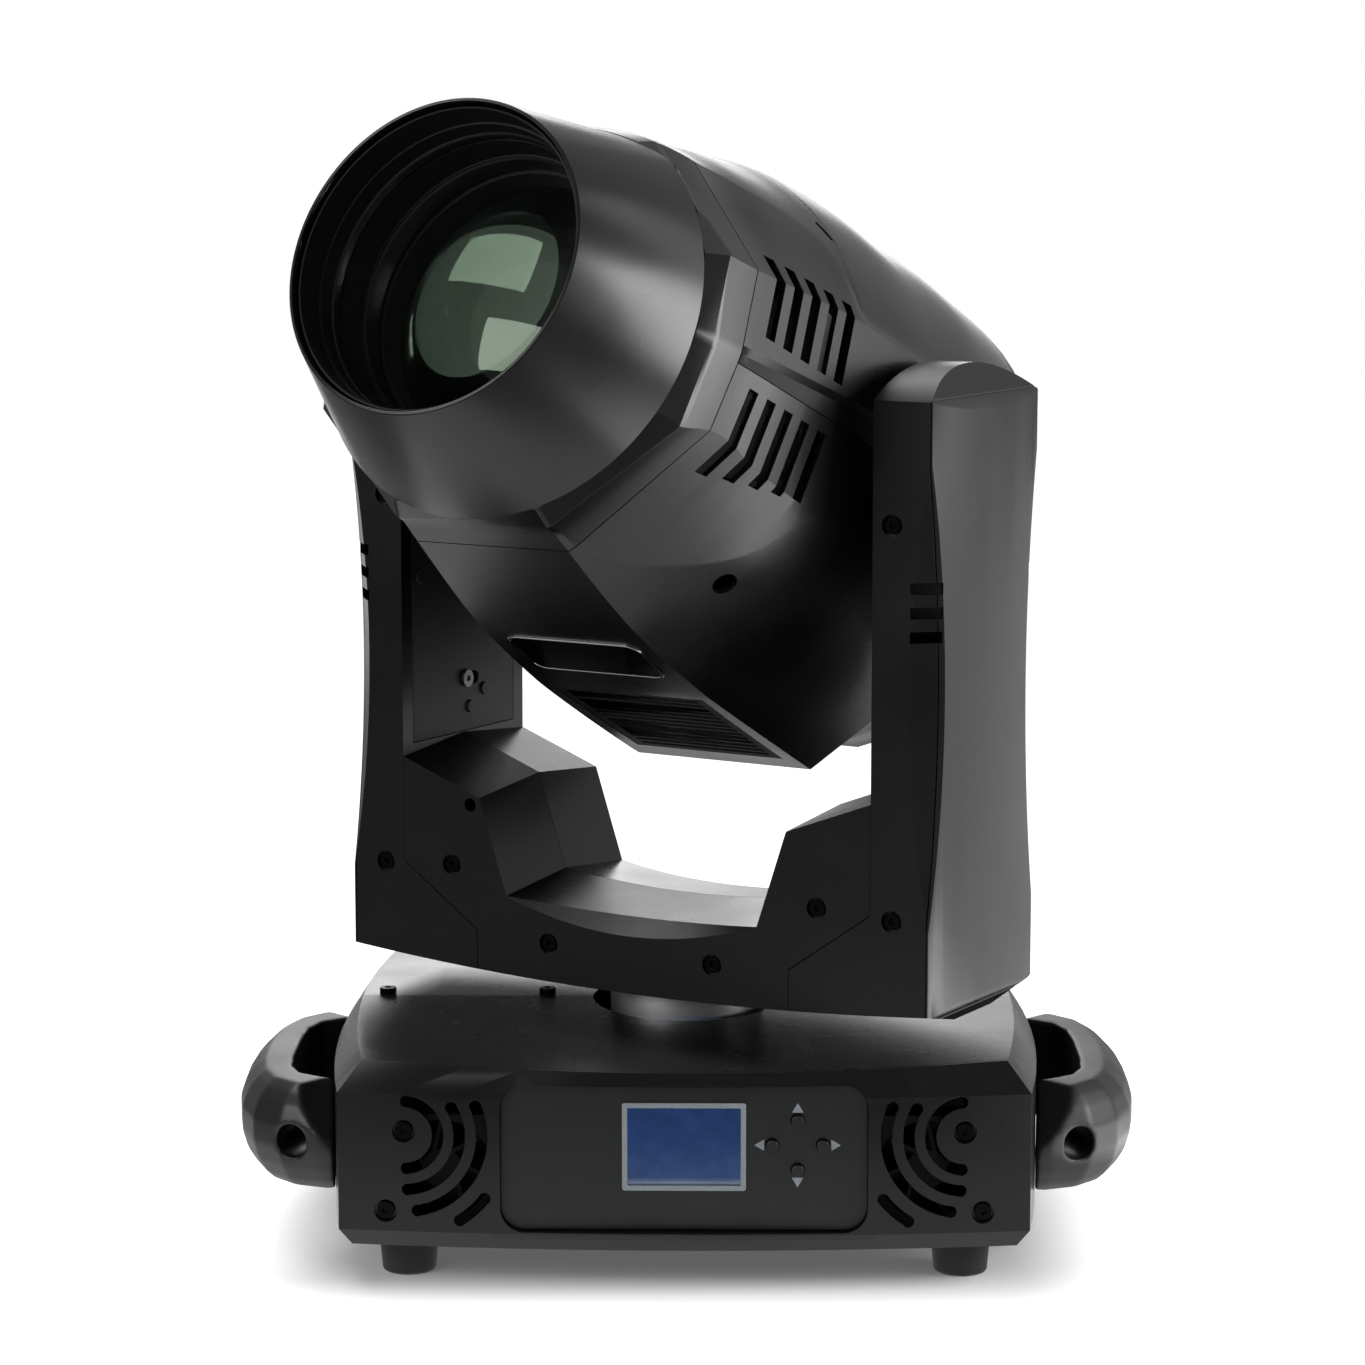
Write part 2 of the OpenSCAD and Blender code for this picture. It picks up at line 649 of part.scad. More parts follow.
// Head, modelled looking up: +Z to the lens, -Y to the underside
// Tables along the head: round back, how its top rises or draws in, upper crease, flat above it,
// half width, underside, half width of the underside, start of the cheek and share of depth kept below
tab_r = [[tail_z, 90], [-222, 108], [-215, 121], [-205, 134], [-194, 144.5], [-172, 149.5], [-139, 152],
    [-85, 151.5], [-25, 148], [10, 145.5], [42, 142], [66, 139], [101, 133.5], [118, 130.5], [161, 122],
    [184, 121]];
tab_top = [[-25, 0], [10, 3], [42, 4], [66, 2.2], [90, -1.8], [118, -4.5], [161, -7.1], [184, -13.8]];
tab_v1 = [[-25, 42.4], [10, 45], [66, 46.3], [118, 42.1], [161, 38.2], [184, 37]];
tab_a2 = [[60, 0], [64, 27.8], [73, 34], [83, 39.5], [98, 42.8], [129, 47.5], [146, 52.4], [163, 55],
    [184, 60]];
tab_x = [[tail_z, 74], [-215, 80], [-194, 86], [-168, 86], [-130, 145], [-40, 145], [10, 141], [66, 134.5],
    [161, 122.5], [184, 118.5]];
tab_b = [[-114, -156.3], [-99, -155.8], [4, -150.2], [16, -149], [78, -140.2], [118, -130.5], [161, -117.5],
    [184, -110]];
tab_w = [[tail_z, 22], [-194, 40], [-122, 54], [-114, 57], [161, 46.5], [184, 44.5]];
tab_a4 = [[65, 0.03], [84, 0.36], [109, 0.62], [161, 0.95], [184, 0.97]];
tab_low = [[tail_z, 0.97], [-194, 0.87], [-168, 0.865], [-140, 0.92], [-114, 1]];
function pol(r, a) = [r * cos(a), r * sin(a)];
// How much of the top's change is felt at an angle from the side: none below 30 degrees, all at 90
function crown(a) = let (u = min(max((a - 30) / 60, 0), 1)) u * u * (3 - 2 * u);
function half_section(z, t) = let (
        r = lookup(z, tab_r) - t,
        top = lookup(z, tab_top),
        xs = lookup(z, tab_x) - t,
        x1 = xs - 0.8,
        v1 = [x1, z > -25 ? lookup(z, tab_v1) - t / 2 : sqrt(max(r * r - x1 * x1, 4))],
        a2 = max(lookup(z, tab_a2), atan2(v1[1], v1[0]) + 3),
        k3 = min(max((z - 10) / 55, 0), 1),
        r3 = r + 2 * min(max((z - 65) / 96, 0), 1),
        x3 = xs - 2 - 6.5 * k3,
        v3 = [x3, -sqrt(max(r3 * r3 - x3 * x3, 4))],
        a3 = atan2(v3[1], v3[0]),
        wb = lookup(z, tab_w) - t * 0.6,
        tail_b = -sqrt(pow(r + max(0, 15 - (-114 - z) * 1.6) + 1.5, 2) - wb * wb),
        vb = z < -114 ? tail_b : lookup(z, tab_b) + t,
        rc = norm([wb, vb]),
        ac = atan2(vb, wb),
        at = ac + acos(min(r / rc, 1)),
        a4 = a3 + (ac - a3) * lookup(z, tab_a4),
        n1 = 8,
        n5 = 6,
        low = lookup(z, tab_low),
        whole = concat(
            [for (i = [0:n1]) let (a = 90 + (a2 - 90) * i / n1) pol(r + top * crown(a), a)],
            [v1, [xs, min(side_y, v1[1] - 1)], v3],
            [for (i = [0:n5]) let (a = a4 + (ac - a4) * i / n5) pol(a < at ? r / cos(a - at) : r, a)],
            [[0, vb]]))
    [for (p = whole) [p[0], p[1] < 0 ? p[1] * low : p[1]]];
function section(z, t) = let (h = half_section(z, t), n = len(h))
    concat(h, [for (i = [n - 2:-1:1]) [-h[i][0], h[i][1]]]);
module loft(zs, secs) {
    n = len(secs[0]);
    m = len(zs);
    polyhedron(
        points = [for (j = [0:m - 1]) for (p = secs[j]) [p[0], p[1], zs[j]]],
        faces = concat(
            [[for (i = [0:n - 1]) i]],
            [for (j = [0:m - 2], i = [0:n - 1]) [j * n + i, (j + 1) * n + i, (j + 1) * n + (i + 1) % n]],
            [for (j = [0:m - 2], i = [0:n - 1]) [j * n + i, (j + 1) * n + (i + 1) % n, j * n + (i + 1) % n]],
            [[for (i = [n - 1:-1:0]) (m - 1) * n + i]]));
}
stations = [161, 140, 118, 98, 78, 65, 47, 16, 4, -40, -99, -114, -122, -130, -150, -168, -182, -194,
    -205, -215, -222, tail_z];
module head_form() { loft(stations, [for (z = stations) section(z, 0)]); }
module head_room(t) {
    m = len(stations) - 1;
    loft([for (i = [0:m]) i == 0 ? 165 : i == m ? tail_z - 3 : stations[i]],
        [for (z = stations) section(z, t)]);
}
module side_slots() {
    both_x() for (i = [0:4]) {
        translate([95, 8, 137.1 - 15.8 * i]) cube([60, 45, 8.2]);
        translate([95, -66 + 2 * i, 138 - 15.5 * i]) cube([60, 46 - 2 * i, 7.8]);
    }
}

// The top of the hood is drawn in by a wide cylinder that leans from its root to its rim, t inside its face
module hood_crown(t) {
    translate([0, hood_r - hood_drop, root_z])
        rotate([atan((hood_r - hood_drop - rim_r - 0.3) / hood_len), 0, 0])
        translate([0, -crown_r, -60]) cylinder(r = crown_r - t, h = 200, $fn = 360);
}
// Radius of the hood's root at an angle, g outside it
function root_radius(a, g) = let (c = crown_r + hood_drop - hood_r)
    min(hood_r, sqrt(pow(crown_r, 2) - pow(c * cos(a), 2)) - c * sin(a)) + g;
module lens_hood() {
    color("#1c1d1f") pose_head() difference() {
        intersection() {
            translate([0, 0, root_z]) cylinder(r1 = hood_r, r2 = rim_r, h = hood_len, $fn = 180);
            hood_crown(0);
        }
        intersection() {
            rotate_extrude($fn = 180) polygon([[0, root_z - 1], [hood_r - 4, root_z - 1],
                [hood_r - 4, root_z], [rim_r - hood_wall, rim_z - 8], [rim_r - hood_wall, rim_z + 1],
                [0, rim_z + 1]]);
            hood_crown(3.2);
        }
    }
}
module hood_liner() {
    color("#0c0c0d") pose_head() rotate_extrude() polygon([[81.8, rim_z - 4], [81.8, 176], [103.5, 176],
        [103.5, 171], [lens_r - 3, 171], [lens_r - 3, 177], [lens_r + 0.2, 177], [lens_r + 0.2, 198],
        [77, 198], [77, 214], [78.2, 214], [78.2, 232], [79.4, 232], [79.4, 250], [80.6, 250],
        [80.6, rim_z - 4]]);
}
// A plano-convex lens: flat behind, a cap of lens_cap radius in front of a thin rim
module front_lens() {
    edge_a = asin(lens_r / lens_cap);
    color("#7fae98") pose_head() rotate_extrude() polygon(concat([[0, 177], [lens_r, 177]],
        [for (i = [12:-1:0]) let (a = edge_a * i / 12)
            [lens_cap * sin(a), 180 + lens_cap * (cos(a) - cos(edge_a))]]));
}
module head_bezel() {
    s = section(lip_z, 0);
    root = [for (p = s) let (a = atan2(p[1], p[0])) pol(root_radius(a, 0.4), a)];
    color("#131416") pose_head() difference() {
        loft([root_z, lip_z, seam_z + 0.4], [root, s, section(seam_z, 0)]);
        cylinder(r = 104, h = lip_z - 6);
        cylinder(r = 97, h = 400);
    }
}
module head_upper_shell() {
    color("#191a1c") pose_head() difference() {
        intersection() { head_form(); translate([-300, part_y + 1.5, -400]) cube([600, 300, 800]); }
        head_room(wall);
        side_slots();
        rod_x(0, 0, 36, -200, 200);
    }
}
module head_lower_shell() {
    color("#191a1c") pose_head() difference() {
        intersection() { head_form(); translate([-300, part_y - 301.5, -400]) cube([600, 300, 800]); }
        head_room(wall);
        side_slots();
        rod_x(0, 0, 36, -200, 200);
        translate([-48, -200, -96.5]) cube([96, 80, 99.5]);
        both_x() translate([89.8, -104.4, 75.5]) rotate([90, 0, 43]) cylinder(r = 7, h = 24, center = true);
    }
}
module rear_grille() {
    color("#101113") pose_head() difference() {
        intersection() {
            loft([0, tail_z - 2], [section(tail_z, wall + 0.3), section(tail_z, wall + 0.3)]);
            translate([-100, -100, tail_z]) cube([200, 200, 3]);
        }
        for (i = [-6:6]) translate([-52, i * 10 - 2.5, tail_z - 5]) cube([104, 5, 20]);
    }
}
module underside_grille() {
    color("#0d0e0f") pose_head() translate([0, -150.2, 2.6]) rotate([-3.11, 0, 0]) difference() {
        translate([-47.6, 0, -98.6]) cube([95.2, 3, 98.6]);
        for (i = [0:13]) translate([-42, -1, -7.6 - 6.7 * i]) cube([84, 6, 3.6]);
    }
}
module badge_pose() { pose_head() translate([0, -140.25, 78]) rotate([-8.08, 0, 0]) children(); }
module badge_frame() {
    color("#c3c7ca") badge_pose() difference() {
        plate_y(-42.3, 42.3, -47, -5.5, 8.5, -0.9, 0);
        plate_y(-40.7, 40.7, -45.4, -7.1, 7, -5, 5);
    }
}
module badge_window() { color("#050506") badge_pose() plate_y(-40.5, 40.5, -45.2, -7.3, 6.8, -0.6, 0); }

module head_chassis() {
    color("#85898d") pose_head() union() {
        difference() {
            union() {
                both_x() translate([118.5, -40, -134]) cube([3, 85, 222]);
                translate([-119, -70, -95]) cube([238, 140, 4]);
                translate([-119, -70, 20]) cube([238, 140, 4]);
                translate([-119, -50, 84]) cube([238, 100, 4]);
            }
            translate([0, 0, -100]) cylinder(r = 32, h = 20);
            translate([0, 0, 10]) cylinder(r = 46, h = 20);
            translate([0, 0, 80]) cylinder(r = 47, h = 20);
        }
        for (s = [-1, 1]) translate([s * 64, 0, 23]) cylinder(r = 4, h = 62);
        translate([-17.5, 40, -91.5]) cube([35, 35, 16.5]);
        translate([-17.5, -75, -91.5]) cube([35, 35, 31.5]);
        translate([0, 57.5, -76]) cylinder(r = 3, h = 12);
        translate([0, -57.5, -61]) cylinder(r = 3, h = 12);
    }
}
module tilt_shafts() {
    color("#c4c7ca") pose_head() union() {
        both_x() { rod_x(0, 0, 34, 121.5, 147.5); rod_x(0, 0, 20, 147, 168); }
        rod_x(0, 0, 20, -180, -160);
        rod_x(0, 0, tilt_pulley_r, -177, -167);
    }
}
module light_engine() {
    color("#d9c37a") pose_head() union() {
        translate([-40, -40, -128]) cube([80, 80, 6]);
        translate([0, 0, -122.1]) cylinder(r1 = 20, r2 = 30, h = 24);
    }
}
module heat_sink() {
    color("#9fa3a7") pose_head() union() {
        translate([-118.5, -40, -134]) cube([237, 80, 6]);
        translate([-62, -70, -134]) cube([124, 140, 6]);
        for (i = [-6:6]) translate([i * 10 - 1.2, -70, -198]) cube([2.4, 140, 64.1]);
        difference() {
            translate([-39, -39, -223]) cube([78, 78, 25.1]);
            translate([0, 0, -230]) cylinder(r = 36.5, h = 40);
        }
    }
}
module head_fan() { color("#101010") pose_head() translate([0, 0, -221]) rotor(35, 20, 7); }
module wheel(y, z, h, r, holes, first) {
    difference() {
        union() {
            translate([0, y, z]) cylinder(r = r, h = h);
            translate([0, y, z - 2]) cylinder(r = 9, h = h + 4);
        }
        translate([0, y, z - 10]) cylinder(r = 3.06, h = 20);
        for (i = [0:holes - 1]) translate([0, y, z - 5]) rotate([0, 0, first + i * 360 / holes])
            translate([41, 0, 0]) cylinder(r = 13, h = 12);
    }
}
module colour_wheel() { color("#b04a8f") pose_head() wheel(57.5, -70, 1.5, 58, 8, -90); }
module gobo_wheel() { color("#8a8d90") pose_head() wheel(-57.5, -55, 1.5, 58, 8, 90); }
module zoom_carriage() {
    color("#57606b") pose_head() difference() {
        union() {
            translate([0, 0, 46]) cylinder(r = 44, h = 8);
            translate([-72, -9, 46]) cube([144, 18, 8]);
        }
        for (s = [-1, 1]) translate([s * 64, 0, 40]) cylinder(r = 4.06, h = 20);
    }
}

placed() base_chassis();
placed() base_front_panel();
placed() base_top_cover_front();
placed() base_top_cover_rear();
placed() base_rear_panel();
placed() control_panel();
placed() display_bezel();
placed() display_module();
placed() handle_left();
placed() handle_right();
placed() base_feet();
placed() base_screws();
placed() pan_bearing();
placed() pan_motor();
placed() pan_belt();
placed() power_supply();
placed() base_fan_frames();
placed() power_inlet();
placed() control_sockets();
placed() button_up();
placed() button_down();
placed() button_left();
placed() button_right();
placed() base_fan_left();
placed() base_fan_right();
placed() pan_motor_pulley();
placed() yoke_frame();
placed() pan_hub();
placed() yoke_bridge_front();
placed() yoke_bridge_rear();
placed() arm_housing_left();
placed() arm_housing_right();
placed() arm_cover_left();
placed() arm_cover_right();
placed() arm_plate_left();
placed() arm_plate_right();
placed() tilt_bearings();
placed() yoke_screws();
placed() tilt_motor();
placed() tilt_belt();
placed() tilt_motor_pulley();
placed() tilt_lock();
placed() lens_hood();
placed() hood_liner();
placed() front_lens();
placed() head_bezel();
placed() head_upper_shell();
placed() head_lower_shell();
placed() rear_grille();
placed() underside_grille();
placed() badge_frame();
placed() badge_window();
placed() head_chassis();
placed() tilt_shafts();
placed() light_engine();
placed() heat_sink();
placed() head_fan();
placed() colour_wheel();
placed() gobo_wheel();
placed() zoom_carriage();
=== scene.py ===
"""Dresses a pan and tilt stage light in its finishes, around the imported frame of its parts."""

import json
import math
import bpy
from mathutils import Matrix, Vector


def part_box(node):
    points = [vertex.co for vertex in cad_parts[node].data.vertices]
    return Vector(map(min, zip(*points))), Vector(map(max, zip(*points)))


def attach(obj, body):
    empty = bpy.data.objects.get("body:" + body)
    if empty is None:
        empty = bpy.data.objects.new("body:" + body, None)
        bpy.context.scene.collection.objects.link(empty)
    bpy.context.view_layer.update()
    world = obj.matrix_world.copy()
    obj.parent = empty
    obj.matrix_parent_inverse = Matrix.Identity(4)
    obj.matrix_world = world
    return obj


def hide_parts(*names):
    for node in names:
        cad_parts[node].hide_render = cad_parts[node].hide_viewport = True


bl_info = {
    "name": "Moving Head Light",
    "version": (1, 0, 0),
    "blender": (4, 5, 0),
    "location": "View3D > Sidebar > Stage Light",
    "description": "Builds the shells, optics, controls and finishes of a moving head light",
    "category": "Object",
}

import bmesh
import bpy
from bpy.props import FloatProperty, FloatVectorProperty, PointerProperty
from mathutils import Matrix, Vector

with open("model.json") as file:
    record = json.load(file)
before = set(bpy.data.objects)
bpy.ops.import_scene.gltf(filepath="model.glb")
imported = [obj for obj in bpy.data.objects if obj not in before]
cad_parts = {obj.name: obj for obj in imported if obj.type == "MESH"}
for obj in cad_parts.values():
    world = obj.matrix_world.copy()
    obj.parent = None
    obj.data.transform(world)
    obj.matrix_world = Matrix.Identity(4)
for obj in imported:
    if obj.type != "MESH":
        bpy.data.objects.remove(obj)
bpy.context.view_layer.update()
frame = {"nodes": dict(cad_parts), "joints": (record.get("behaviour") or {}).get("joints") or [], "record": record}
MM = 0.001
JOINTS = {joint["name"]: joint for joint in frame["joints"]}
BODY_OF = {node: body for body, nodes in frame["record"]["behaviour"]["bodies"].items() for node in nodes}


def axes_at(across, up, origin):
    """A frame with X along across, Z along up and its origin in metres."""
    x = Vector(across).normalized()
    z = Vector(up).normalized()
    made = Matrix((x, z.cross(x), z)).transposed().to_4x4()
    made.translation = Vector(origin)
    return made


PAN_AXIS = Vector((JOINTS["pan"]["pos_m"][0], JOINTS["pan"]["pos_m"][1], 0))
BASE = Matrix.Translation(PAN_AXIS)
HEAD = axes_at(JOINTS["tilt"]["axis"], JOINTS["zoom_slide"]["axis"], JOINTS["tilt"]["pos_m"])


def place(frame_axes, x, y, z):
    """A point given in millimetres in one of the frames, in metres in the row's frame."""
    return frame_axes @ (Vector((x, y, z)) * MM)


def linear(hex_colour):
    """An sRGB hex colour as linear red, green and blue."""
    parts = [int(hex_colour[i:i + 2], 16) / 255 for i in (1, 3, 5)]
    return tuple(c / 12.92 if c <= 0.04045 else ((c + 0.055) / 1.055) ** 2.4 for c in parts)


# Sizes and colours a user would change


class LightColours(bpy.types.PropertyGroup):
    """Colours of the finishes."""

    shell: FloatVectorProperty(
        name="Shell", description="Moulded covers of the head and the arms",
        subtype="COLOR", default=linear("#0d0e0f"))
    housing: FloatVectorProperty(
        name="Housing", description="Grained mouldings of the base and the yoke",
        subtype="COLOR", default=linear("#0c0d0e"))
    handle: FloatVectorProperty(
        name="Handles", description="Coarse textured carrying handles",
        subtype="COLOR", default=linear("#121315"))
    display: FloatVectorProperty(
        name="Display", description="Backlight of the display",
        subtype="COLOR", default=linear("#1f3a69"))
    print_grey: FloatVectorProperty(
        name="Printing", description="Screen printed frame and arrows",
        subtype="COLOR", default=linear("#9aa2a8"))


class LightSizes(bpy.types.PropertyGroup):
    """Sizes of the visible details."""

    edge: FloatProperty(
        name="Edge radius", description="Rounding of the moulded edges",
        default=0.9 * MM, min=0.1 * MM, max=3 * MM, unit="LENGTH")
    grain: FloatProperty(
        name="Grain", description="Width of one grain of the moulded texture, drawn coarse enough to show",
        default=1.1 * MM, min=0.3 * MM, max=4 * MM, unit="LENGTH")
    shell_wall: FloatProperty(
        name="Shell wall", description="Thickness of the head's shells",
        default=3 * MM, min=1 * MM, max=6 * MM, unit="LENGTH")
    rim_wall: FloatProperty(
        name="Hood rim", description="Thickness of the hood at its rim",
        default=1.8 * MM, min=1 * MM, max=5 * MM, unit="LENGTH")


def colours():
    return bpy.context.scene.stage_light_colours


def sizes():
    return bpy.context.scene.stage_light_sizes


# Finishes


def put(tree, kind, inputs=None, **attributes):
    """Adds one node with its attributes; each input is a value or the socket it is linked from."""
    made = tree.nodes.new(kind)
    for key, value in attributes.items():
        setattr(made, key, value)
    for key, value in (inputs or {}).items():
        if isinstance(value, bpy.types.NodeSocket):
            tree.links.new(value, made.inputs[key])
        else:
            made.inputs[key].default_value = value
    return made


def blank(name):
    """A new material and its empty tree."""
    material = bpy.data.materials.new(name)
    material.use_nodes = True
    material.node_tree.nodes.clear()
    return material, material.node_tree


def rgba(colour):
    return (*colour[:3], 1.0)


FINISHES = {}


def finish(maker, *values):
    """The material that a maker gives, made once for each set of values."""
    key = (maker.__name__, values)
    if key not in FINISHES:
        FINISHES[key] = maker(*values)
    return FINISHES[key]


def grained_plastic(name, colour, roughness, grain, depth, gloss=0.5):
    """ABS moulded in a spark-eroded tool: a dull black skin of fine pits that breaks up each highlight."""
    material, tree = blank(name)
    coords = put(tree, "ShaderNodeTexCoord")
    pits = put(tree, "ShaderNodeTexNoise", {
        "Vector": coords.outputs["Object"], "Scale": 1 / grain, "Detail": 3.0, "Roughness": 0.6})
    flow = put(tree, "ShaderNodeTexNoise", {
        "Vector": coords.outputs["Object"], "Scale": 18.0, "Detail": 4.0})
    tone = put(tree, "ShaderNodeMapRange", {
        "Value": pits.outputs["Fac"], "From Min": 0.3, "From Max": 0.7, "To Min": 0.75, "To Max": 1.25})
    skin = put(tree, "ShaderNodeVectorMath", {0: colour[:3], "Scale": tone.outputs["Result"]}, operation="SCALE")
    dull = put(tree, "ShaderNodeMapRange", {
        "Value": flow.outputs["Fac"], "From Min": 0.3, "From Max": 0.7,
        "To Min": roughness - 0.04, "To Max": roughness + 0.04})
    bump = put(tree, "ShaderNodeBump", {
        "Height": pits.outputs["Fac"], "Strength": 0.5, "Distance": depth})
    shader = put(tree, "ShaderNodeBsdfPrincipled", {
        "Base Color": skin.outputs["Vector"], "Roughness": dull.outputs["Result"], "IOR": 1.54,
        "Specular IOR Level": gloss, "Normal": bump.outputs["Normal"]})
    put(tree, "ShaderNodeOutputMaterial", {"Surface": shader.outputs["BSDF"]})
    return material


def polished_plastic(name, colour, roughness):
    """Acrylic or polished moulding: smooth and dark with clean reflections and faint wipe marks."""
    material, tree = blank(name)
    coords = put(tree, "ShaderNodeTexCoord")
    wipe = put(tree, "ShaderNodeTexNoise", {
        "Vector": coords.outputs["Object"], "Scale": 60.0, "Detail": 5.0, "Distortion": 0.6})
    dull = put(tree, "ShaderNodeMapRange", {
        "Value": wipe.outputs["Fac"], "From Min": 0.35, "From Max": 0.7,
        "To Min": roughness, "To Max": roughness + 0.08})
    shader = put(tree, "ShaderNodeBsdfPrincipled", {
        "Base Color": rgba(colour), "Roughness": dull.outputs["Result"], "IOR": 1.49})
    put(tree, "ShaderNodeOutputMaterial", {"Surface": shader.outputs["BSDF"]})
    return material


def rubber(name, colour):
    """Moulded rubber: matt, with a soft bloom."""
    material, tree = blank(name)
    coords = put(tree, "ShaderNodeTexCoord")
    bloom = put(tree, "ShaderNodeTexNoise", {"Vector": coords.outputs["Object"], "Scale": 140.0, "Detail": 6.0})
    tone = put(tree, "ShaderNodeMapRange", {
        "Value": bloom.outputs["Fac"], "From Min": 0.3, "From Max": 0.7, "To Min": 0.7, "To Max": 1.3})
    skin = put(tree, "ShaderNodeVectorMath", {0: colour[:3], "Scale": tone.outputs["Result"]}, operation="SCALE")
    bump = put(tree, "ShaderNodeBump", {"Height": bloom.outputs["Fac"], "Strength": 0.3, "Distance": 0.2 * MM})
    shader = put(tree, "ShaderNodeBsdfPrincipled", {
        "Base Color": skin.outputs["Vector"], "Roughness": 0.75, "IOR": 1.52, "Normal": bump.outputs["Normal"]})
    put(tree, "ShaderNodeOutputMaterial", {"Surface": shader.outputs["BSDF"]})
    return material


def machined_metal(name, colour, roughness, stretch):
    """Turned, drawn or plated metal: fine tool lines along one direction that spread each highlight."""
    material, tree = blank(name)
    coords = put(tree, "ShaderNodeTexCoord")
    laid = put(tree, "ShaderNodeMapping", {"Vector": coords.outputs["Object"], "Scale": stretch})
    lines = put(tree, "ShaderNodeTexNoise", {"Vector": laid.outputs["Vector"], "Scale": 400.0, "Detail": 4.0})
    dull = put(tree, "ShaderNodeMapRange", {
        "Value": lines.outputs["Fac"], "From Min": 0.3, "From Max": 0.7,
        "To Min": roughness - 0.08, "To Max": roughness + 0.1})
    bump = put(tree, "ShaderNodeBump", {"Height": lines.outputs["Fac"], "Strength": 0.25, "Distance": 0.1 * MM})
    shader = put(tree, "ShaderNodeBsdfPrincipled", {
        "Base Color": rgba(colour), "Metallic": 1.0, "Roughness": dull.outputs["Result"],
        "Normal": bump.outputs["Normal"]})
    put(tree, "ShaderNodeOutputMaterial", {"Surface": shader.outputs["BSDF"]})
    return material


def screen_print(name, colour):
    """Screen printing ink: flat pale grey with a slightly uneven film."""
    material, tree = blank(name)
    coords = put(tree, "ShaderNodeTexCoord")
    film = put(tree, "ShaderNodeTexNoise", {"Vector": coords.outputs["Object"], "Scale": 900.0, "Detail": 2.0})
    tone = put(tree, "ShaderNodeMapRange", {
        "Value": film.outputs["Fac"], "From Min": 0.3, "From Max": 0.7, "To Min": 0.88, "To Max": 1.08})
    ink = put(tree, "ShaderNodeVectorMath", {0: colour[:3], "Scale": tone.outputs["Result"]}, operation="SCALE")
    shader = put(tree, "ShaderNodeBsdfPrincipled", {"Base Color": ink.outputs["Vector"], "Roughness": 0.5})
    put(tree, "ShaderNodeOutputMaterial", {"Surface": shader.outputs["BSDF"]})
    return material


def backlit_display(name, colour, low, high):
    """Blue liquid crystal display: an even backlight that leaks pale along its lower edge, behind a clear front."""
    material, tree = blank(name)
    coords = put(tree, "ShaderNodeTexCoord")
    split = put(tree, "ShaderNodeSeparateXYZ", {"Vector": coords.outputs["Object"]})
    cells = put(tree, "ShaderNodeTexNoise", {"Vector": coords.outputs["Object"], "Scale": 120.0, "Detail": 3.0})
    height = put(tree, "ShaderNodeMapRange", {
        "Value": split.outputs["Z"], "From Min": low, "From Max": high, "To Min": 0.0, "To Max": 1.0})
    leak = put(tree, "ShaderNodeValToRGB", {"Fac": height.outputs["Result"]})
    stops = leak.color_ramp.elements
    stops[0].position = 0.0
    stops[0].color = rgba(linear("#16213a"))
    stops[1].position = 1.0
    stops[1].color = rgba([c * 0.9 for c in colour])
    for position, shade in ((0.03, "#6d7a94"), (0.06, "#4d5a75"), (0.1, "#25406f")):
        stop = stops.new(position)
        stop.color = rgba(linear(shade))
    tone = put(tree, "ShaderNodeMapRange", {
        "Value": cells.outputs["Fac"], "From Min": 0.3, "From Max": 0.7, "To Min": 0.85, "To Max": 1.15})
    glow = put(tree, "ShaderNodeVectorMath", {
        0: leak.outputs["Color"], "Scale": tone.outputs["Result"]}, operation="SCALE")
    shader = put(tree, "ShaderNodeBsdfPrincipled", {
        "Base Color": rgba(linear("#0a1020")), "Roughness": 0.12,
        "Emission Color": glow.outputs["Vector"], "Emission Strength": 0.8, "Specular IOR Level": 0.25})
    put(tree, "ShaderNodeOutputMaterial", {"Surface": shader.outputs["BSDF"]})
    return material


def coated_glass(name, tint):
    """Optical glass with a green anti-reflection film: nearly black inside, with pale green reflections."""
    material, tree = blank(name)
    coords = put(tree, "ShaderNodeTexCoord")
    film = put(tree, "ShaderNodeTexNoise", {"Vector": coords.outputs["Object"], "Scale": 9.0, "Detail": 1.0})
    tone = put(tree, "ShaderNodeMapRange", {
        "Value": film.outputs["Fac"], "From Min": 0.3, "From Max": 0.7, "To Min": 0.94, "To Max": 1.0})
    clear = put(tree, "ShaderNodeVectorMath", {
        0: linear("#dfeee4"), "Scale": tone.outputs["Result"]}, operation="SCALE")
    shader = put(tree, "ShaderNodeBsdfPrincipled", {
        "Base Color": clear.outputs["Vector"], "Roughness": 0.0, "IOR": 1.75, "Transmission Weight": 1.0,
        "Specular Tint": rgba(tint)})
    put(tree, "ShaderNodeOutputMaterial", {"Surface": shader.outputs["BSDF"]})
    return material


def shell_plastic():
    return finish(grained_plastic, "moulded_abs_satin", tuple(colours().shell), 0.27, sizes().grain, 0.012 * MM)


def housing_plastic():
    return finish(
        grained_plastic, "moulded_abs_grained", tuple(colours().housing), 0.27, sizes().grain, 0.015 * MM,
        0.35)


def handle_plastic():
    return finish(
        grained_plastic, "glass_filled_nylon_coarse", tuple(colours().handle), 0.42, 1.6 * sizes().grain, 0.08 * MM)


def black_paint():
    return finish(grained_plastic, "matt_black_paint", linear("#070707"), 0.62, sizes().grain, 0.05 * MM, 0.3)


def black_steel():
    return finish(machined_metal, "black_oxide_steel", linear("#161617"), 0.32, (1.0, 1.0, 1.0))


def bright_steel():
    return finish(machined_metal, "turned_steel", linear("#b9bbbd"), 0.3, (0.2, 0.2, 8.0))


def satin_steel():
    return finish(machined_metal, "satin_turned_steel", linear("#e2e3e4"), 0.45, (0.2, 0.2, 8.0))


def plated_steel():
    return finish(machined_metal, "zinc_plated_steel", linear("#8d9093"), 0.38, (1.0, 6.0, 1.0))


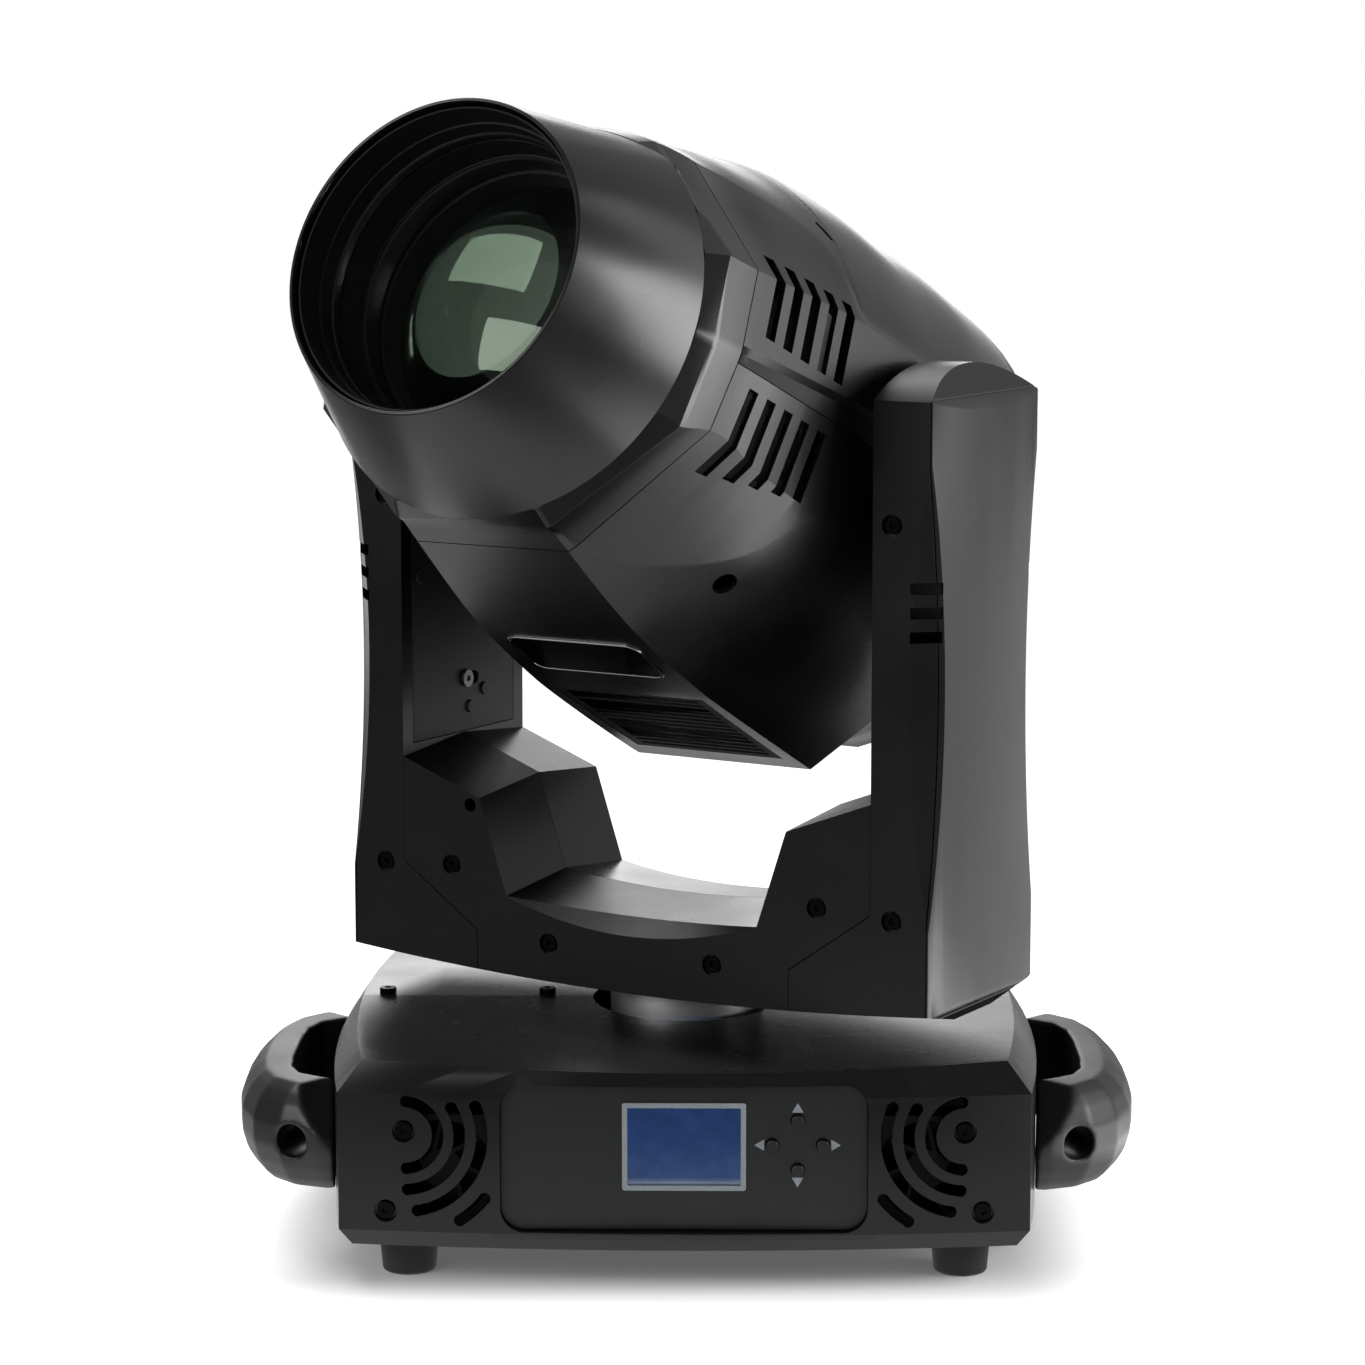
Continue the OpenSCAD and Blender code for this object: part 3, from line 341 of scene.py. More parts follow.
def cast_alloy():
    return finish(machined_metal, "extruded_aluminium", linear("#9fa3a7"), 0.42, (6.0, 1.0, 1.0))


def chassis_paint():
    return finish(grained_plastic, "powder_coated_steel", linear("#1c1d1f"), 0.5, sizes().grain, 0.1 * MM)


def foot_rubber():
    return finish(rubber, "moulded_rubber", linear("#0e0e0f"))


# Mesh making


def skin(mesh, rings, start=False, end=False):
    """Joins equal closed rings of points with quads, and closes the ends that are asked for."""
    rows = [[mesh.verts.new(point) for point in ring] for ring in rings]
    for lower, upper in zip(rows, rows[1:]):
        for i in range(len(lower)):
            j = (i + 1) % len(lower)
            mesh.faces.new((lower[i], lower[j], upper[j], upper[i]))
    if start:
        mesh.faces.new(list(reversed(rows[0])))
    if end:
        mesh.faces.new(rows[-1])
    return rows


def rounded(points, radii, steps=4):
    """An outline of 2-D points with each corner that has a radius turned into a small arc."""
    made = []
    for i, corner in enumerate(points):
        here = Vector(corner)
        radius = radii[i] if isinstance(radii, (list, tuple)) else radii
        before = Vector(points[i - 1]) - here
        after = Vector(points[(i + 1) % len(points)]) - here
        reach = min(radius, before.length / 2.2, after.length / 2.2)
        if reach <= 0:
            made.append(here)
            continue
        first = here + before.normalized() * reach
        last = here + after.normalized() * reach
        for k in range(steps + 1):
            t = k / steps
            made.append(first * (1 - t) ** 2 + here * 2 * t * (1 - t) + last * t ** 2)
    return made


def turned(mesh, profile, frame_axes, steps=160):
    """A closed profile of (radius, height) points in millimetres, or one for each angle, turned about Z."""
    rings = []
    for step in range(steps):
        angle = 2 * math.pi * step / steps
        points = profile(angle) if callable(profile) else profile
        rings.append([place(frame_axes, r * math.cos(angle), r * math.sin(angle), z) for r, z in points])
    skin(mesh, rings + [rings[0]])


def new_piece(name, mesh, material, node=None, body=None, smooth=30):
    """An object from a mesh under construction, with its finish, riding on its body."""
    bmesh.ops.remove_doubles(mesh, verts=mesh.verts, dist=0.001 * MM)
    bmesh.ops.recalc_face_normals(mesh, faces=mesh.faces)
    data = bpy.data.meshes.new(name)
    mesh.to_mesh(data)
    mesh.free()
    piece = bpy.data.objects.new(name, data)
    bpy.context.scene.collection.objects.link(piece)
    data.materials.append(material)
    shade(data, smooth)
    if node:
        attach(piece, BODY_OF[node])
        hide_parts(node)
    elif body:
        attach(piece, body)
    return piece


def shade(data, angle):
    """Smooth shading that breaks at edges sharper than the angle in degrees."""
    data.shade_smooth()
    data.set_sharp_from_angle(angle=math.radians(angle))


def settle(piece):
    """Turns a piece's modifiers into its mesh."""
    graph = bpy.context.evaluated_depsgraph_get()
    data = bpy.data.meshes.new_from_object(piece.evaluated_get(graph))
    piece.modifiers.clear()
    piece.data = data
    return data


def soften(piece, width, angle=32):
    """Rounds the edges of a piece that are sharper than the angle, and keeps its flats flat."""
    bevel = piece.modifiers.new("edge_radius", "BEVEL")
    bevel.width = width
    bevel.segments = 2
    bevel.limit_method = "ANGLE"
    bevel.angle_limit = math.radians(angle)
    bevel.use_clamp_overlap = True
    bevel.miter_outer = "MITER_ARC"
    even = piece.modifiers.new("even_flats", "WEIGHTED_NORMAL")
    even.keep_sharp = True
    return piece


def copy_of(node, material):
    """A copy of a part's solid with its flats made whole and its finish on."""
    mesh = bmesh.new()
    mesh.from_mesh(frame["nodes"][node].data)
    bmesh.ops.remove_doubles(mesh, verts=mesh.verts, dist=0.002 * MM)
    bmesh.ops.dissolve_limit(mesh, angle_limit=math.radians(0.35), verts=mesh.verts, edges=mesh.edges)
    return new_piece(node + "_dressed", mesh, material, node=node, smooth=40)


def dress(node, material, edge=None):
    """A copy of a part's solid with its edges rounded."""
    return soften(copy_of(node, material), sizes().edge if edge is None else edge)


def paint(node, material):
    """Gives a part that stays as it is its finish."""
    data = frame["nodes"][node].data
    data.materials.clear()
    data.materials.append(material)


def carve(piece, cutter_mesh):
    """Cuts closed forms out of a piece."""
    bmesh.ops.recalc_face_normals(cutter_mesh, faces=cutter_mesh.faces)
    data = bpy.data.meshes.new("cutter")
    cutter_mesh.to_mesh(data)
    cutter_mesh.free()
    cutter = bpy.data.objects.new("cutter", data)
    bpy.context.scene.collection.objects.link(cutter)
    cut = piece.modifiers.new("cut", "BOOLEAN")
    cut.operation = "DIFFERENCE"
    cut.solver = "EXACT"
    cut.object = cutter
    settle(piece)
    bpy.data.objects.remove(cutter)


def corners_of(low, high):
    """The four corners of a rectangle, from its lowest and its highest."""
    return (low[0], low[1]), (high[0], low[1]), (high[0], high[1]), (low[0], high[1])


def block(mesh, frame_axes, low, high):
    """A box between two corners in millimetres of a frame."""
    rings = [[place(frame_axes, x, y, z) for x, y in corners_of(low, high)] for z in (low[2], high[2])]
    skin(mesh, rings, True, True)


def rod(mesh, frame_axes, radius, low, high, steps=32):
    """A cylinder about Z of a frame between two heights in millimetres."""
    turns = [2 * math.pi * k / steps for k in range(steps)]
    skin(mesh, [[place(frame_axes, radius * math.cos(a), radius * math.sin(a), z) for a in turns]
                for z in (low, high)], True, True)


# Head


# Distance of each feature from the tilt axis, in millimetres along the beam
SEAM_Z = 161.0
LIP_Z = 184.0
ROOT_Z = 194.0
RIM_Z = 271.0
LENS_BACK_Z = 177.0
LENS_EDGE_Z = 180.0
TAIL_START_Z = -114.0
CREASE_END_Z = -25.0
# Height of the parting line and of the sides' foot, and half of the gap between the two casings
PART_Y = -12.0
SIDE_Y = -8.0
HALF_GAP = 0.3
# Opening for the tilt shafts, and the bezel's inner steps
PIVOT_RADIUS = 36.0
BORE_RADIUS = 104.0
MOUTH_RADIUS = 97.0
# Radius of the round back along the beam
BACK_RADIUS = ((-230, 90), (-222, 108), (-215, 121), (-205, 134), (-194, 144.5), (-172, 149.5), (-139, 152),
               (-85, 151.5), (-25, 148), (10, 145.5), (42, 142), (66, 139), (101, 133.5), (118, 130.5),
               (161, 122), (184, 121))
# How far the top of the round back rises or draws in
TOP_RISE = ((-25, 0), (10, 3), (42, 4), (66, 2.2), (90, -1.8), (118, -4.5), (161, -7.1), (184, -13.8))
# Height of the upper crease, and the angle in degrees of the flat above it
CREASE_Y = ((-25, 42.4), (10, 45), (66, 46.3), (118, 42.1), (161, 38.2), (184, 37))
FLAT_ANGLE = ((60, 0), (64, 27.8), (73, 34), (83, 39.5), (98, 42.8), (129, 47.5), (146, 52.4), (163, 55),
              (184, 60))
# Hood at its root and its rim, the wide circle that draws its top in, and the lens
HOOD_RADIUS = 113.5
HOOD_DROP = 10.5
CROWN_RADIUS = 162.0
RIM_RADIUS = 84.8
LENS_RADIUS = 74.0
LENS_CAP = 112.0
# Half width of the sides, the flat underside, start of the cheek, and share of depth kept below
SIDE_X = ((-230, 74), (-215, 80), (-194, 86), (-168, 86), (-130, 145), (-40, 145), (10, 141), (66, 134.5),
          (161, 122.5), (184, 118.5))
UNDERSIDE_Y = ((-114, -156.3), (-99, -155.8), (4, -150.2), (16, -149), (78, -140.2), (118, -130.5),
               (161, -117.5), (184, -110))
UNDERSIDE_X = ((-230, 22), (-194, 40), (-122, 54), (-114, 57), (161, 46.5), (184, 44.5))
CHEEK = ((65, 0.03), (84, 0.36), (109, 0.62), (161, 0.95), (184, 0.97))
LOWER_SHARE = ((-230, 0.97), (-194, 0.87), (-168, 0.865), (-140, 0.92), (-114, 1))


def along(table, z):
    """A smooth curve that never overshoots, through a table of stations and values."""
    if z <= table[0][0]:
        return table[0][1]
    if z >= table[-1][0]:
        return table[-1][1]
    slopes = [(b[1] - a[1]) / (b[0] - a[0]) for a, b in zip(table, table[1:])]
    i = next(k for k in range(len(slopes)) if z <= table[k + 1][0])

    def tangent(k):
        if k == 0 or k == len(table) - 1:
            return slopes[min(k, len(slopes) - 1)]
        left, right = slopes[k - 1], slopes[k]
        return 0.0 if left * right <= 0 else 2 * left * right / (left + right)

    span = table[i + 1][0] - table[i][0]
    t = (z - table[i][0]) / span
    return ((2 * t ** 3 - 3 * t ** 2 + 1) * table[i][1] + (t ** 3 - 2 * t ** 2 + t) * span * tangent(i)
            + (3 * t ** 2 - 2 * t ** 3) * table[i + 1][1] + (t ** 3 - t ** 2) * span * tangent(i + 1))


def polar(radius, angle):
    return radius * math.cos(angle), radius * math.sin(angle)


def crown(angle):
    """How much of the top's change is felt at an angle from the side: none below 30 degrees, all at 90."""
    u = min(max((math.degrees(angle) - 30) / 60, 0), 1)
    return u * u * (3 - 2 * u)


def root_radius(angle, outside=0.0):
    """The root of the hood is round with its top drawn in by a wider circle."""
    drop = CROWN_RADIUS + HOOD_DROP - HOOD_RADIUS
    wide = math.sqrt(CROWN_RADIUS ** 2 - (drop * math.cos(angle)) ** 2) - drop * math.sin(angle)
    return min(HOOD_RADIUS, wide) + outside


ROUND_STEPS = 28
FLAT_STEPS = 3
LEDGE_DEPTH = 3.0
CHEEK_STEPS = 18


def ledge(z, side, lower, top):
    """The groove that runs along the side above the parting line: its lip, its root and its foot."""
    depth = LEDGE_DEPTH * min(max((SEAM_Z - z) / 6, 0), 1) * min(max((z + 150) / 60, 0), 1)
    lip = min(-2.4 + (158 - z) * 0.07, 6.0, top - 1)
    foot = side + (lower[0] - side) * (SIDE_Y - PART_Y) / (SIDE_Y - lower[1])
    return [(side, lip), (side - depth, lip - 3.5), (foot, PART_Y)]


def half_section(z):
    """Right half of the head's outline at one station, from the top round to the underside."""
    r = along(BACK_RADIUS, z)
    side = along(SIDE_X, z)
    crease_x = side - 0.8
    crease = Vector((crease_x, along(CREASE_Y, z) if z > CREASE_END_Z else math.sqrt(max(r ** 2 - crease_x ** 2, 4))))
    flat_a = max(math.radians(along(FLAT_ANGLE, z)), math.atan2(crease.y, crease.x) + 0.05)
    rise = along(TOP_RISE, z)
    flat = Vector(polar(r + rise * crown(flat_a), flat_a))
    scoop = min(max((z - 10) / 55, 0), 1)
    lower_r = r + 2 * min(max((z - 65) / 96, 0), 1)
    lower_x = side - 2 - 6.5 * scoop
    lower = (lower_x, -math.sqrt(max(lower_r ** 2 - lower_x ** 2, 4)))
    lower_a = math.atan2(lower[1], lower[0])
    wide = along(UNDERSIDE_X, z)
    if z < TAIL_START_Z:
        deep = -math.sqrt((r + max(0, 15 - (TAIL_START_Z - z) * 1.6) + 1.5) ** 2 - wide ** 2)
    else:
        deep = along(UNDERSIDE_Y, z)
    corner_r = math.hypot(wide, deep)
    corner_a = math.atan2(deep, wide)
    tangent_a = corner_a + math.acos(min(r / corner_r, 1))
    cheek_a = lower_a + (corner_a - lower_a) * along(CHEEK, z)
    points = []
    for i in range(ROUND_STEPS + 1):
        a = math.pi / 2 + (flat_a - math.pi / 2) * i / ROUND_STEPS
        points.append(polar(r + rise * crown(a), a))
    points += [tuple(flat.lerp(crease, (i + 1) / FLAT_STEPS)) for i in range(FLAT_STEPS)]
    points += ledge(z, side, lower, crease.y)
    points.append(lower)
    for i in range(CHEEK_STEPS + 1):
        a = cheek_a + (corner_a - cheek_a) * i / CHEEK_STEPS
        points.append(polar(r / math.cos(a - tangent_a) if a < tangent_a else r, a))
    points.append((0, deep))
    share = along(LOWER_SHARE, z)
    return [(x, y * share if y < 0 else y) for x, y in points]


def section(z):
    """The head's whole outline at one station."""
    half = half_section(z)
    return half + [(-x, y) for x, y in reversed(half[1:-1])]


def head_stations():
    """Stations along the head, closer together where the tail turns in."""
    body = [SEAM_Z - 5 * i for i in range(int((SEAM_Z + 190) / 5) + 1)]
    tail = [-190 - 2.5 * i for i in range(17)]
    return [z for z in body if z > tail[0] + 1] + tail


def shell_piece(name, node, keep_above):
    """One half of the head's casing, cut from the lofted form at the parting line."""
    mesh = bmesh.new()
    stations = head_stations()
    skin(mesh, [[place(HEAD, x, y, z) for x, y in section(z)] for z in stations])
    gap = HALF_GAP if keep_above else -HALF_GAP
    normal = HEAD.to_3x3() @ Vector((0, -1 if keep_above else 1, 0))
    bmesh.ops.bisect_plane(
        mesh, geom=mesh.verts[:] + mesh.edges[:] + mesh.faces[:], plane_co=place(HEAD, 0, PART_Y + gap, 0),
        plane_no=normal, clear_outer=True)
    piece = new_piece(name, mesh, shell_plastic(), node=node, smooth=24)
    wall = piece.modifiers.new("wall", "SOLIDIFY")
    wall.thickness = sizes().shell_wall
    wall.offset = -1
    wall.use_even_offset = True
    settle(piece)
    return piece


VENTS = 5


def vent_cutters(mesh, upper):
    """Boxes that cut the row of cooling slots through both sides."""
    for side in (-1, 1):
        for i in range(VENTS):
            if upper:
                low, high, z, wide = 8, 53, 137.1 - 15.8 * i, 8.2
            else:
                low, high, z, wide = -66 + 2 * i, -20, 138 - 15.5 * i, 7.8
            xs = sorted((side * 95, side * 155))
            block(mesh, HEAD, (xs[0], low, z), (xs[1], high, z + wide))


class STAGELIGHT_OT_head_shells(bpy.types.Operator):
    """Builds the upper and lower casings of the head"""

    bl_idname = "stagelight.head_shells"
    bl_label = "Head shells"

    def execute(self, context):
        for name, node, upper in (
                ("head_upper_casing", "head_upper_shell", True), ("head_lower_casing", "head_lower_shell", False)):
            piece = shell_piece(name, node, upper)
            cutter = bmesh.new()
            vent_cutters(cutter, upper)
            carve(piece, cutter)
            pivot = bmesh.new()
            rod(pivot, HEAD @ Matrix.Rotation(math.pi / 2, 4, "Y"), PIVOT_RADIUS, -200, 200, 64)
            carve(piece, pivot)
            openings = bmesh.new()
            if upper:
                for side in (-1, 1):
                    seat = HEAD @ Matrix.Translation(Vector((99.3 * side, 96.8, 67.9)) * MM)
                    seat = seat @ Matrix.Rotation(math.radians(90 - 45.7 * side), 4, "Z")
                    block(openings, seat @ Matrix.Rotation(math.radians(30.3 * side), 4, "X"),
                          (-4, -6.5, -2), (6, 6.5, 2))
            else:
                block(openings, HEAD, (-48, -200, -96.5), (48, -120, 3))
                for side in (-1, 1):
                    seat = HEAD @ Matrix.Translation(Vector((89.8 * side, -104.4, 75.5)) * MM)
                    seat = seat @ Matrix.Rotation(math.radians(43 * side), 4, "Z")
                    rod(openings, seat @ Matrix.Rotation(math.pi / 2, 4, "X"), 7, -12, 12, 32)
            carve(piece, openings)
            shade(piece.data, 24)
        return {"FINISHED"}


class STAGELIGHT_OT_head_trim(bpy.types.Operator):
    """Builds the front bezel, the badge plate and the grilles of the head"""

    bl_idname = "stagelight.head_trim"
    bl_label = "Head trim"

    def execute(self, context):
        mesh = bmesh.new()
        lip = section(LIP_Z)
        angles = [math.atan2(y, x) for x, y in lip]
        root = [polar(root_radius(a, 0.4), a) for a in angles]
        bore = [polar(BORE_RADIUS, a) for a in angles]
        mouth = [polar(MOUTH_RADIUS, a) for a in angles]
        back, step = SEAM_Z + 0.6, LIP_Z - 6
        rings = [(bore, back), (bore, step), (mouth, step), (mouth, ROOT_Z), (root, ROOT_Z), (lip, LIP_Z)]
        rings += [(section(z), z) for z in (180, 176, 172, 168, 164, back)]
        made = [[place(HEAD, x, y, z) for x, y in ring] for ring, z in rings]
        skin(mesh, made + [made[0]])
        piece = new_piece("front_bezel", mesh, shell_plastic(), node="head_bezel", smooth=24)
        soften(piece, 0.5 * MM, 30)
        dress("underside_grille", black_paint(), 0.4 * MM)
        dress("rear_grille", black_paint(), 0.4 * MM)
        chrome = finish(machined_metal, "chromed_plastic", linear("#c9cdd0"), 0.12, (1, 1, 1))
        dress("badge_frame", chrome, 0.3 * MM)
        dress("badge_window", finish(polished_plastic, "black_acrylic", linear("#050506"), 0.06), 0.3 * MM)
        return {"FINISHED"}


LENS_STEPS = 24
# The lens is left open by a hair at its axis, where a turned form would fold
AXIS_GAP = 0.02


class STAGELIGHT_OT_optics(bpy.types.Operator):
    """Builds the hood, its stepped lining and the front lens"""

    bl_idname = "stagelight.optics"
    bl_label = "Optics"

    def execute(self, context):
        inner = RIM_RADIUS - sizes().rim_wall / MM

        def hood(angle):
            return rounded([
                (root_radius(angle), ROOT_Z), (RIM_RADIUS, RIM_Z), (inner, RIM_Z), (inner, RIM_Z - 8),
                (root_radius(angle, -4), ROOT_Z)], [0.4, 0.8, 0.8, 0.5, 0.3])

        mesh = bmesh.new()
        turned(mesh, hood, HEAD, 192)
        new_piece("beam_hood", mesh, shell_plastic(), node="lens_hood", smooth=24)
        mesh = bmesh.new()
        top = RIM_Z - 4
        steps = [(81.8, top), (81.8, 176), (103.5, 176), (103.5, 171), (71, 171), (71, LENS_BACK_Z),
                 (74.2, LENS_BACK_Z), (74.2, 198), (77, 198), (77, 214), (78.2, 214), (78.2, 232), (79.4, 232),
                 (79.4, 250), (80.6, 250), (80.6, top)]
        turned(mesh, rounded(steps, 0.25, 2), HEAD, 192)
        new_piece("baffle_lining", mesh, black_paint(), node="hood_liner", smooth=30)
        mesh = bmesh.new()
        for radius, low, high in ((77, 199, 213), (79.4, 233, 240)):
            turned(mesh, rounded([(radius - 0.02, low), (radius - 0.02, high), (radius - 1.2, high - 1.2),
                                  (radius - 1.2, low + 1.2)], 0.3, 2), HEAD, 192)
        new_piece("baffle_rings", mesh, finish(polished_plastic, "satin_black_ring", linear("#101011"), 0.4),
                  body=BODY_OF["hood_liner"])
        mesh = bmesh.new()
        edge = math.asin(LENS_RADIUS / LENS_CAP)
        turns = [edge * k / LENS_STEPS for k in range(LENS_STEPS + 1)]
        cap = [(LENS_CAP * math.sin(a), LENS_EDGE_Z + LENS_CAP * (math.cos(a) - math.cos(edge))) for a in turns]
        cap[0] = (AXIS_GAP, cap[0][1])
        turned(mesh, cap + [(LENS_RADIUS, LENS_BACK_Z), (AXIS_GAP, LENS_BACK_Z)], HEAD)
        new_piece("front_lens_glass", mesh, finish(coated_glass, "coated_optical_glass", linear("#cde2ca")),
                  node="front_lens", smooth=40)
        return {"FINISHED"}


class STAGELIGHT_OT_yoke(bpy.types.Operator):
    """Dresses the arms, their covers and inner plates, and the crossbar"""

    bl_idname = "stagelight.yoke"
    bl_label = "Yoke"

    def execute(self, context):
        for side in ("left", "right"):
            dress(f"arm_housing_{side}", housing_plastic())
            dress(f"arm_cover_{side}", shell_plastic())
            dress(f"arm_plate_{side}", chassis_paint(), 0.3 * MM)
        for side in ("front", "rear"):
            dress(f"yoke_bridge_{side}", housing_plastic())
        return {"FINISHED"}


class STAGELIGHT_OT_yoke_hardware(bpy.types.Operator):
    """Finishes the screws, the tilt lock, the bearings and the drive of the yoke"""

    bl_idname = "stagelight.yoke_hardware"
    bl_label = "Yoke hardware"

    def execute(self, context):
        dress("yoke_screws", black_steel(), 0.5 * MM)
        dress("tilt_lock", plated_steel(), 0.3 * MM)
        for node in ("yoke_frame", "tilt_motor"):
            paint(node, chassis_paint())
        for node in ("tilt_bearings", "tilt_shafts", "tilt_motor_pulley"):
            paint(node, bright_steel())
        paint("pan_hub", satin_steel())
        paint("tilt_belt", foot_rubber())
        return {"FINISHED"}


class STAGELIGHT_OT_base_covers(bpy.types.Operator):
    """Dresses the mouldings of the base"""

    bl_idname = "stagelight.base_covers"
    bl_label = "Base covers"

    def execute(self, context):
        for node in ("base_front_panel", "base_top_cover_front", "base_top_cover_rear", "base_rear_panel"):
            dress(node, housing_plastic(), 0.6 * MM)
        return {"FINISHED"}


class STAGELIGHT_OT_handles(bpy.types.Operator):
    """Dresses the carrying handles"""

    bl_idname = "stagelight.handles"
    bl_label = "Handles"

    def execute(self, context):
        for side in ("left", "right"):
            piece = copy_of(f"handle_{side}", handle_plastic())
            even = piece.modifiers.new("even_mesh", "REMESH")
            even.mode = "VOXEL"
            even.voxel_size = 1.6 * MM
            melt = piece.modifiers.new("moulded_curves", "SMOOTH")
            melt.factor = 0.5
            melt.iterations = 6
            settle(piece).shade_smooth()
        return {"FINISHED"}


class STAGELIGHT_OT_controls(bpy.types.Operator):
    """Builds the control panel, its display, buttons and printed arrows"""

    bl_idname = "stagelight.controls"
    bl_label = "Controls"

    def execute(self, context):
        film = finish(polished_plastic, "satin_polycarbonate_film", linear("#121314"), 0.4)
        dress("control_panel", film, 0.2 * MM)
        ink = finish(screen_print, "screen_printing_ink", tuple(colours().print_grey))
        dress("display_bezel", ink, 0.2 * MM)
        low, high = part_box("display_bezel")
        paint("display_module", finish(
            backlit_display, "blue_display", tuple(colours().display), low.z + 3 * MM, high.z - 3 * MM))
        for side in ("up", "down", "left", "right"):
            cap = finish(polished_plastic, "black_button_plastic", linear("#141516"), 0.3)
            dress(f"button_{side}", cap, 0.5 * MM)
        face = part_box("control_panel")[0].y / MM - PAN_AXIS.y / MM
        ends = [corner for side in ("left", "right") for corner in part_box(f"button_{side}")]
        middle = sum(ends, Vector()) / len(ends)
        mesh = bmesh.new()
        for turn in range(4):
            angle = turn * math.pi / 2
            outward = Vector((math.cos(angle), math.sin(angle)))
            across = Vector((-outward.y, outward.x))
            centre = Vector((middle.x / MM, middle.z / MM)) + outward * 20
            foot = centre - outward * 2.2
            corners = [centre + outward * 3, foot + across * 3.1, foot - across * 3.1]
            skin(mesh, [[place(BASE, p.x, y, p.y) for p in corners] for y in (face - 0.12, face + 0.1)], True, True)
        new_piece("button_arrows", mesh, ink, body="base")
        return {"FINISHED"}


class STAGELIGHT_OT_base_hardware(bpy.types.Operator):
    """Finishes the feet, screws, sockets and what the base holds inside"""

    bl_idname = "stagelight.base_hardware"
    bl_label = "Base hardware"

    def execute(self, context):
        dress("base_feet", foot_rubber(), 1.5 * MM)
        dress("base_screws", black_steel(), 0.5 * MM)
        dress("power_inlet", finish(polished_plastic, "blue_nylon", linear("#27509a"), 0.35), 0.4 * MM)
        dress("control_sockets", plated_steel(), 0.4 * MM)
        for node in ("base_chassis", "power_supply", "pan_motor"):
            paint(node, chassis_paint())
        for node in ("pan_bearing", "pan_motor_pulley"):
            paint(node, bright_steel())
        paint("pan_belt", foot_rubber())
        for node in ("base_fan_frames", "base_fan_left", "base_fan_right"):
            paint(node, black_paint())
        return {"FINISHED"}


class STAGELIGHT_OT_insides(bpy.types.Operator):
    """Finishes the light engine, the wheels and the cooling inside the head"""

    bl_idname = "stagelight.insides"
    bl_label = "Insides of the head"

    def execute(self, context):
        paint("head_chassis", chassis_paint())
        paint("heat_sink", cast_alloy())
        paint("head_fan", black_paint())
        for node in ("colour_wheel", "gobo_wheel", "light_engine", "zoom_carriage"):
            paint(node, chassis_paint())
        return {"FINISHED"}


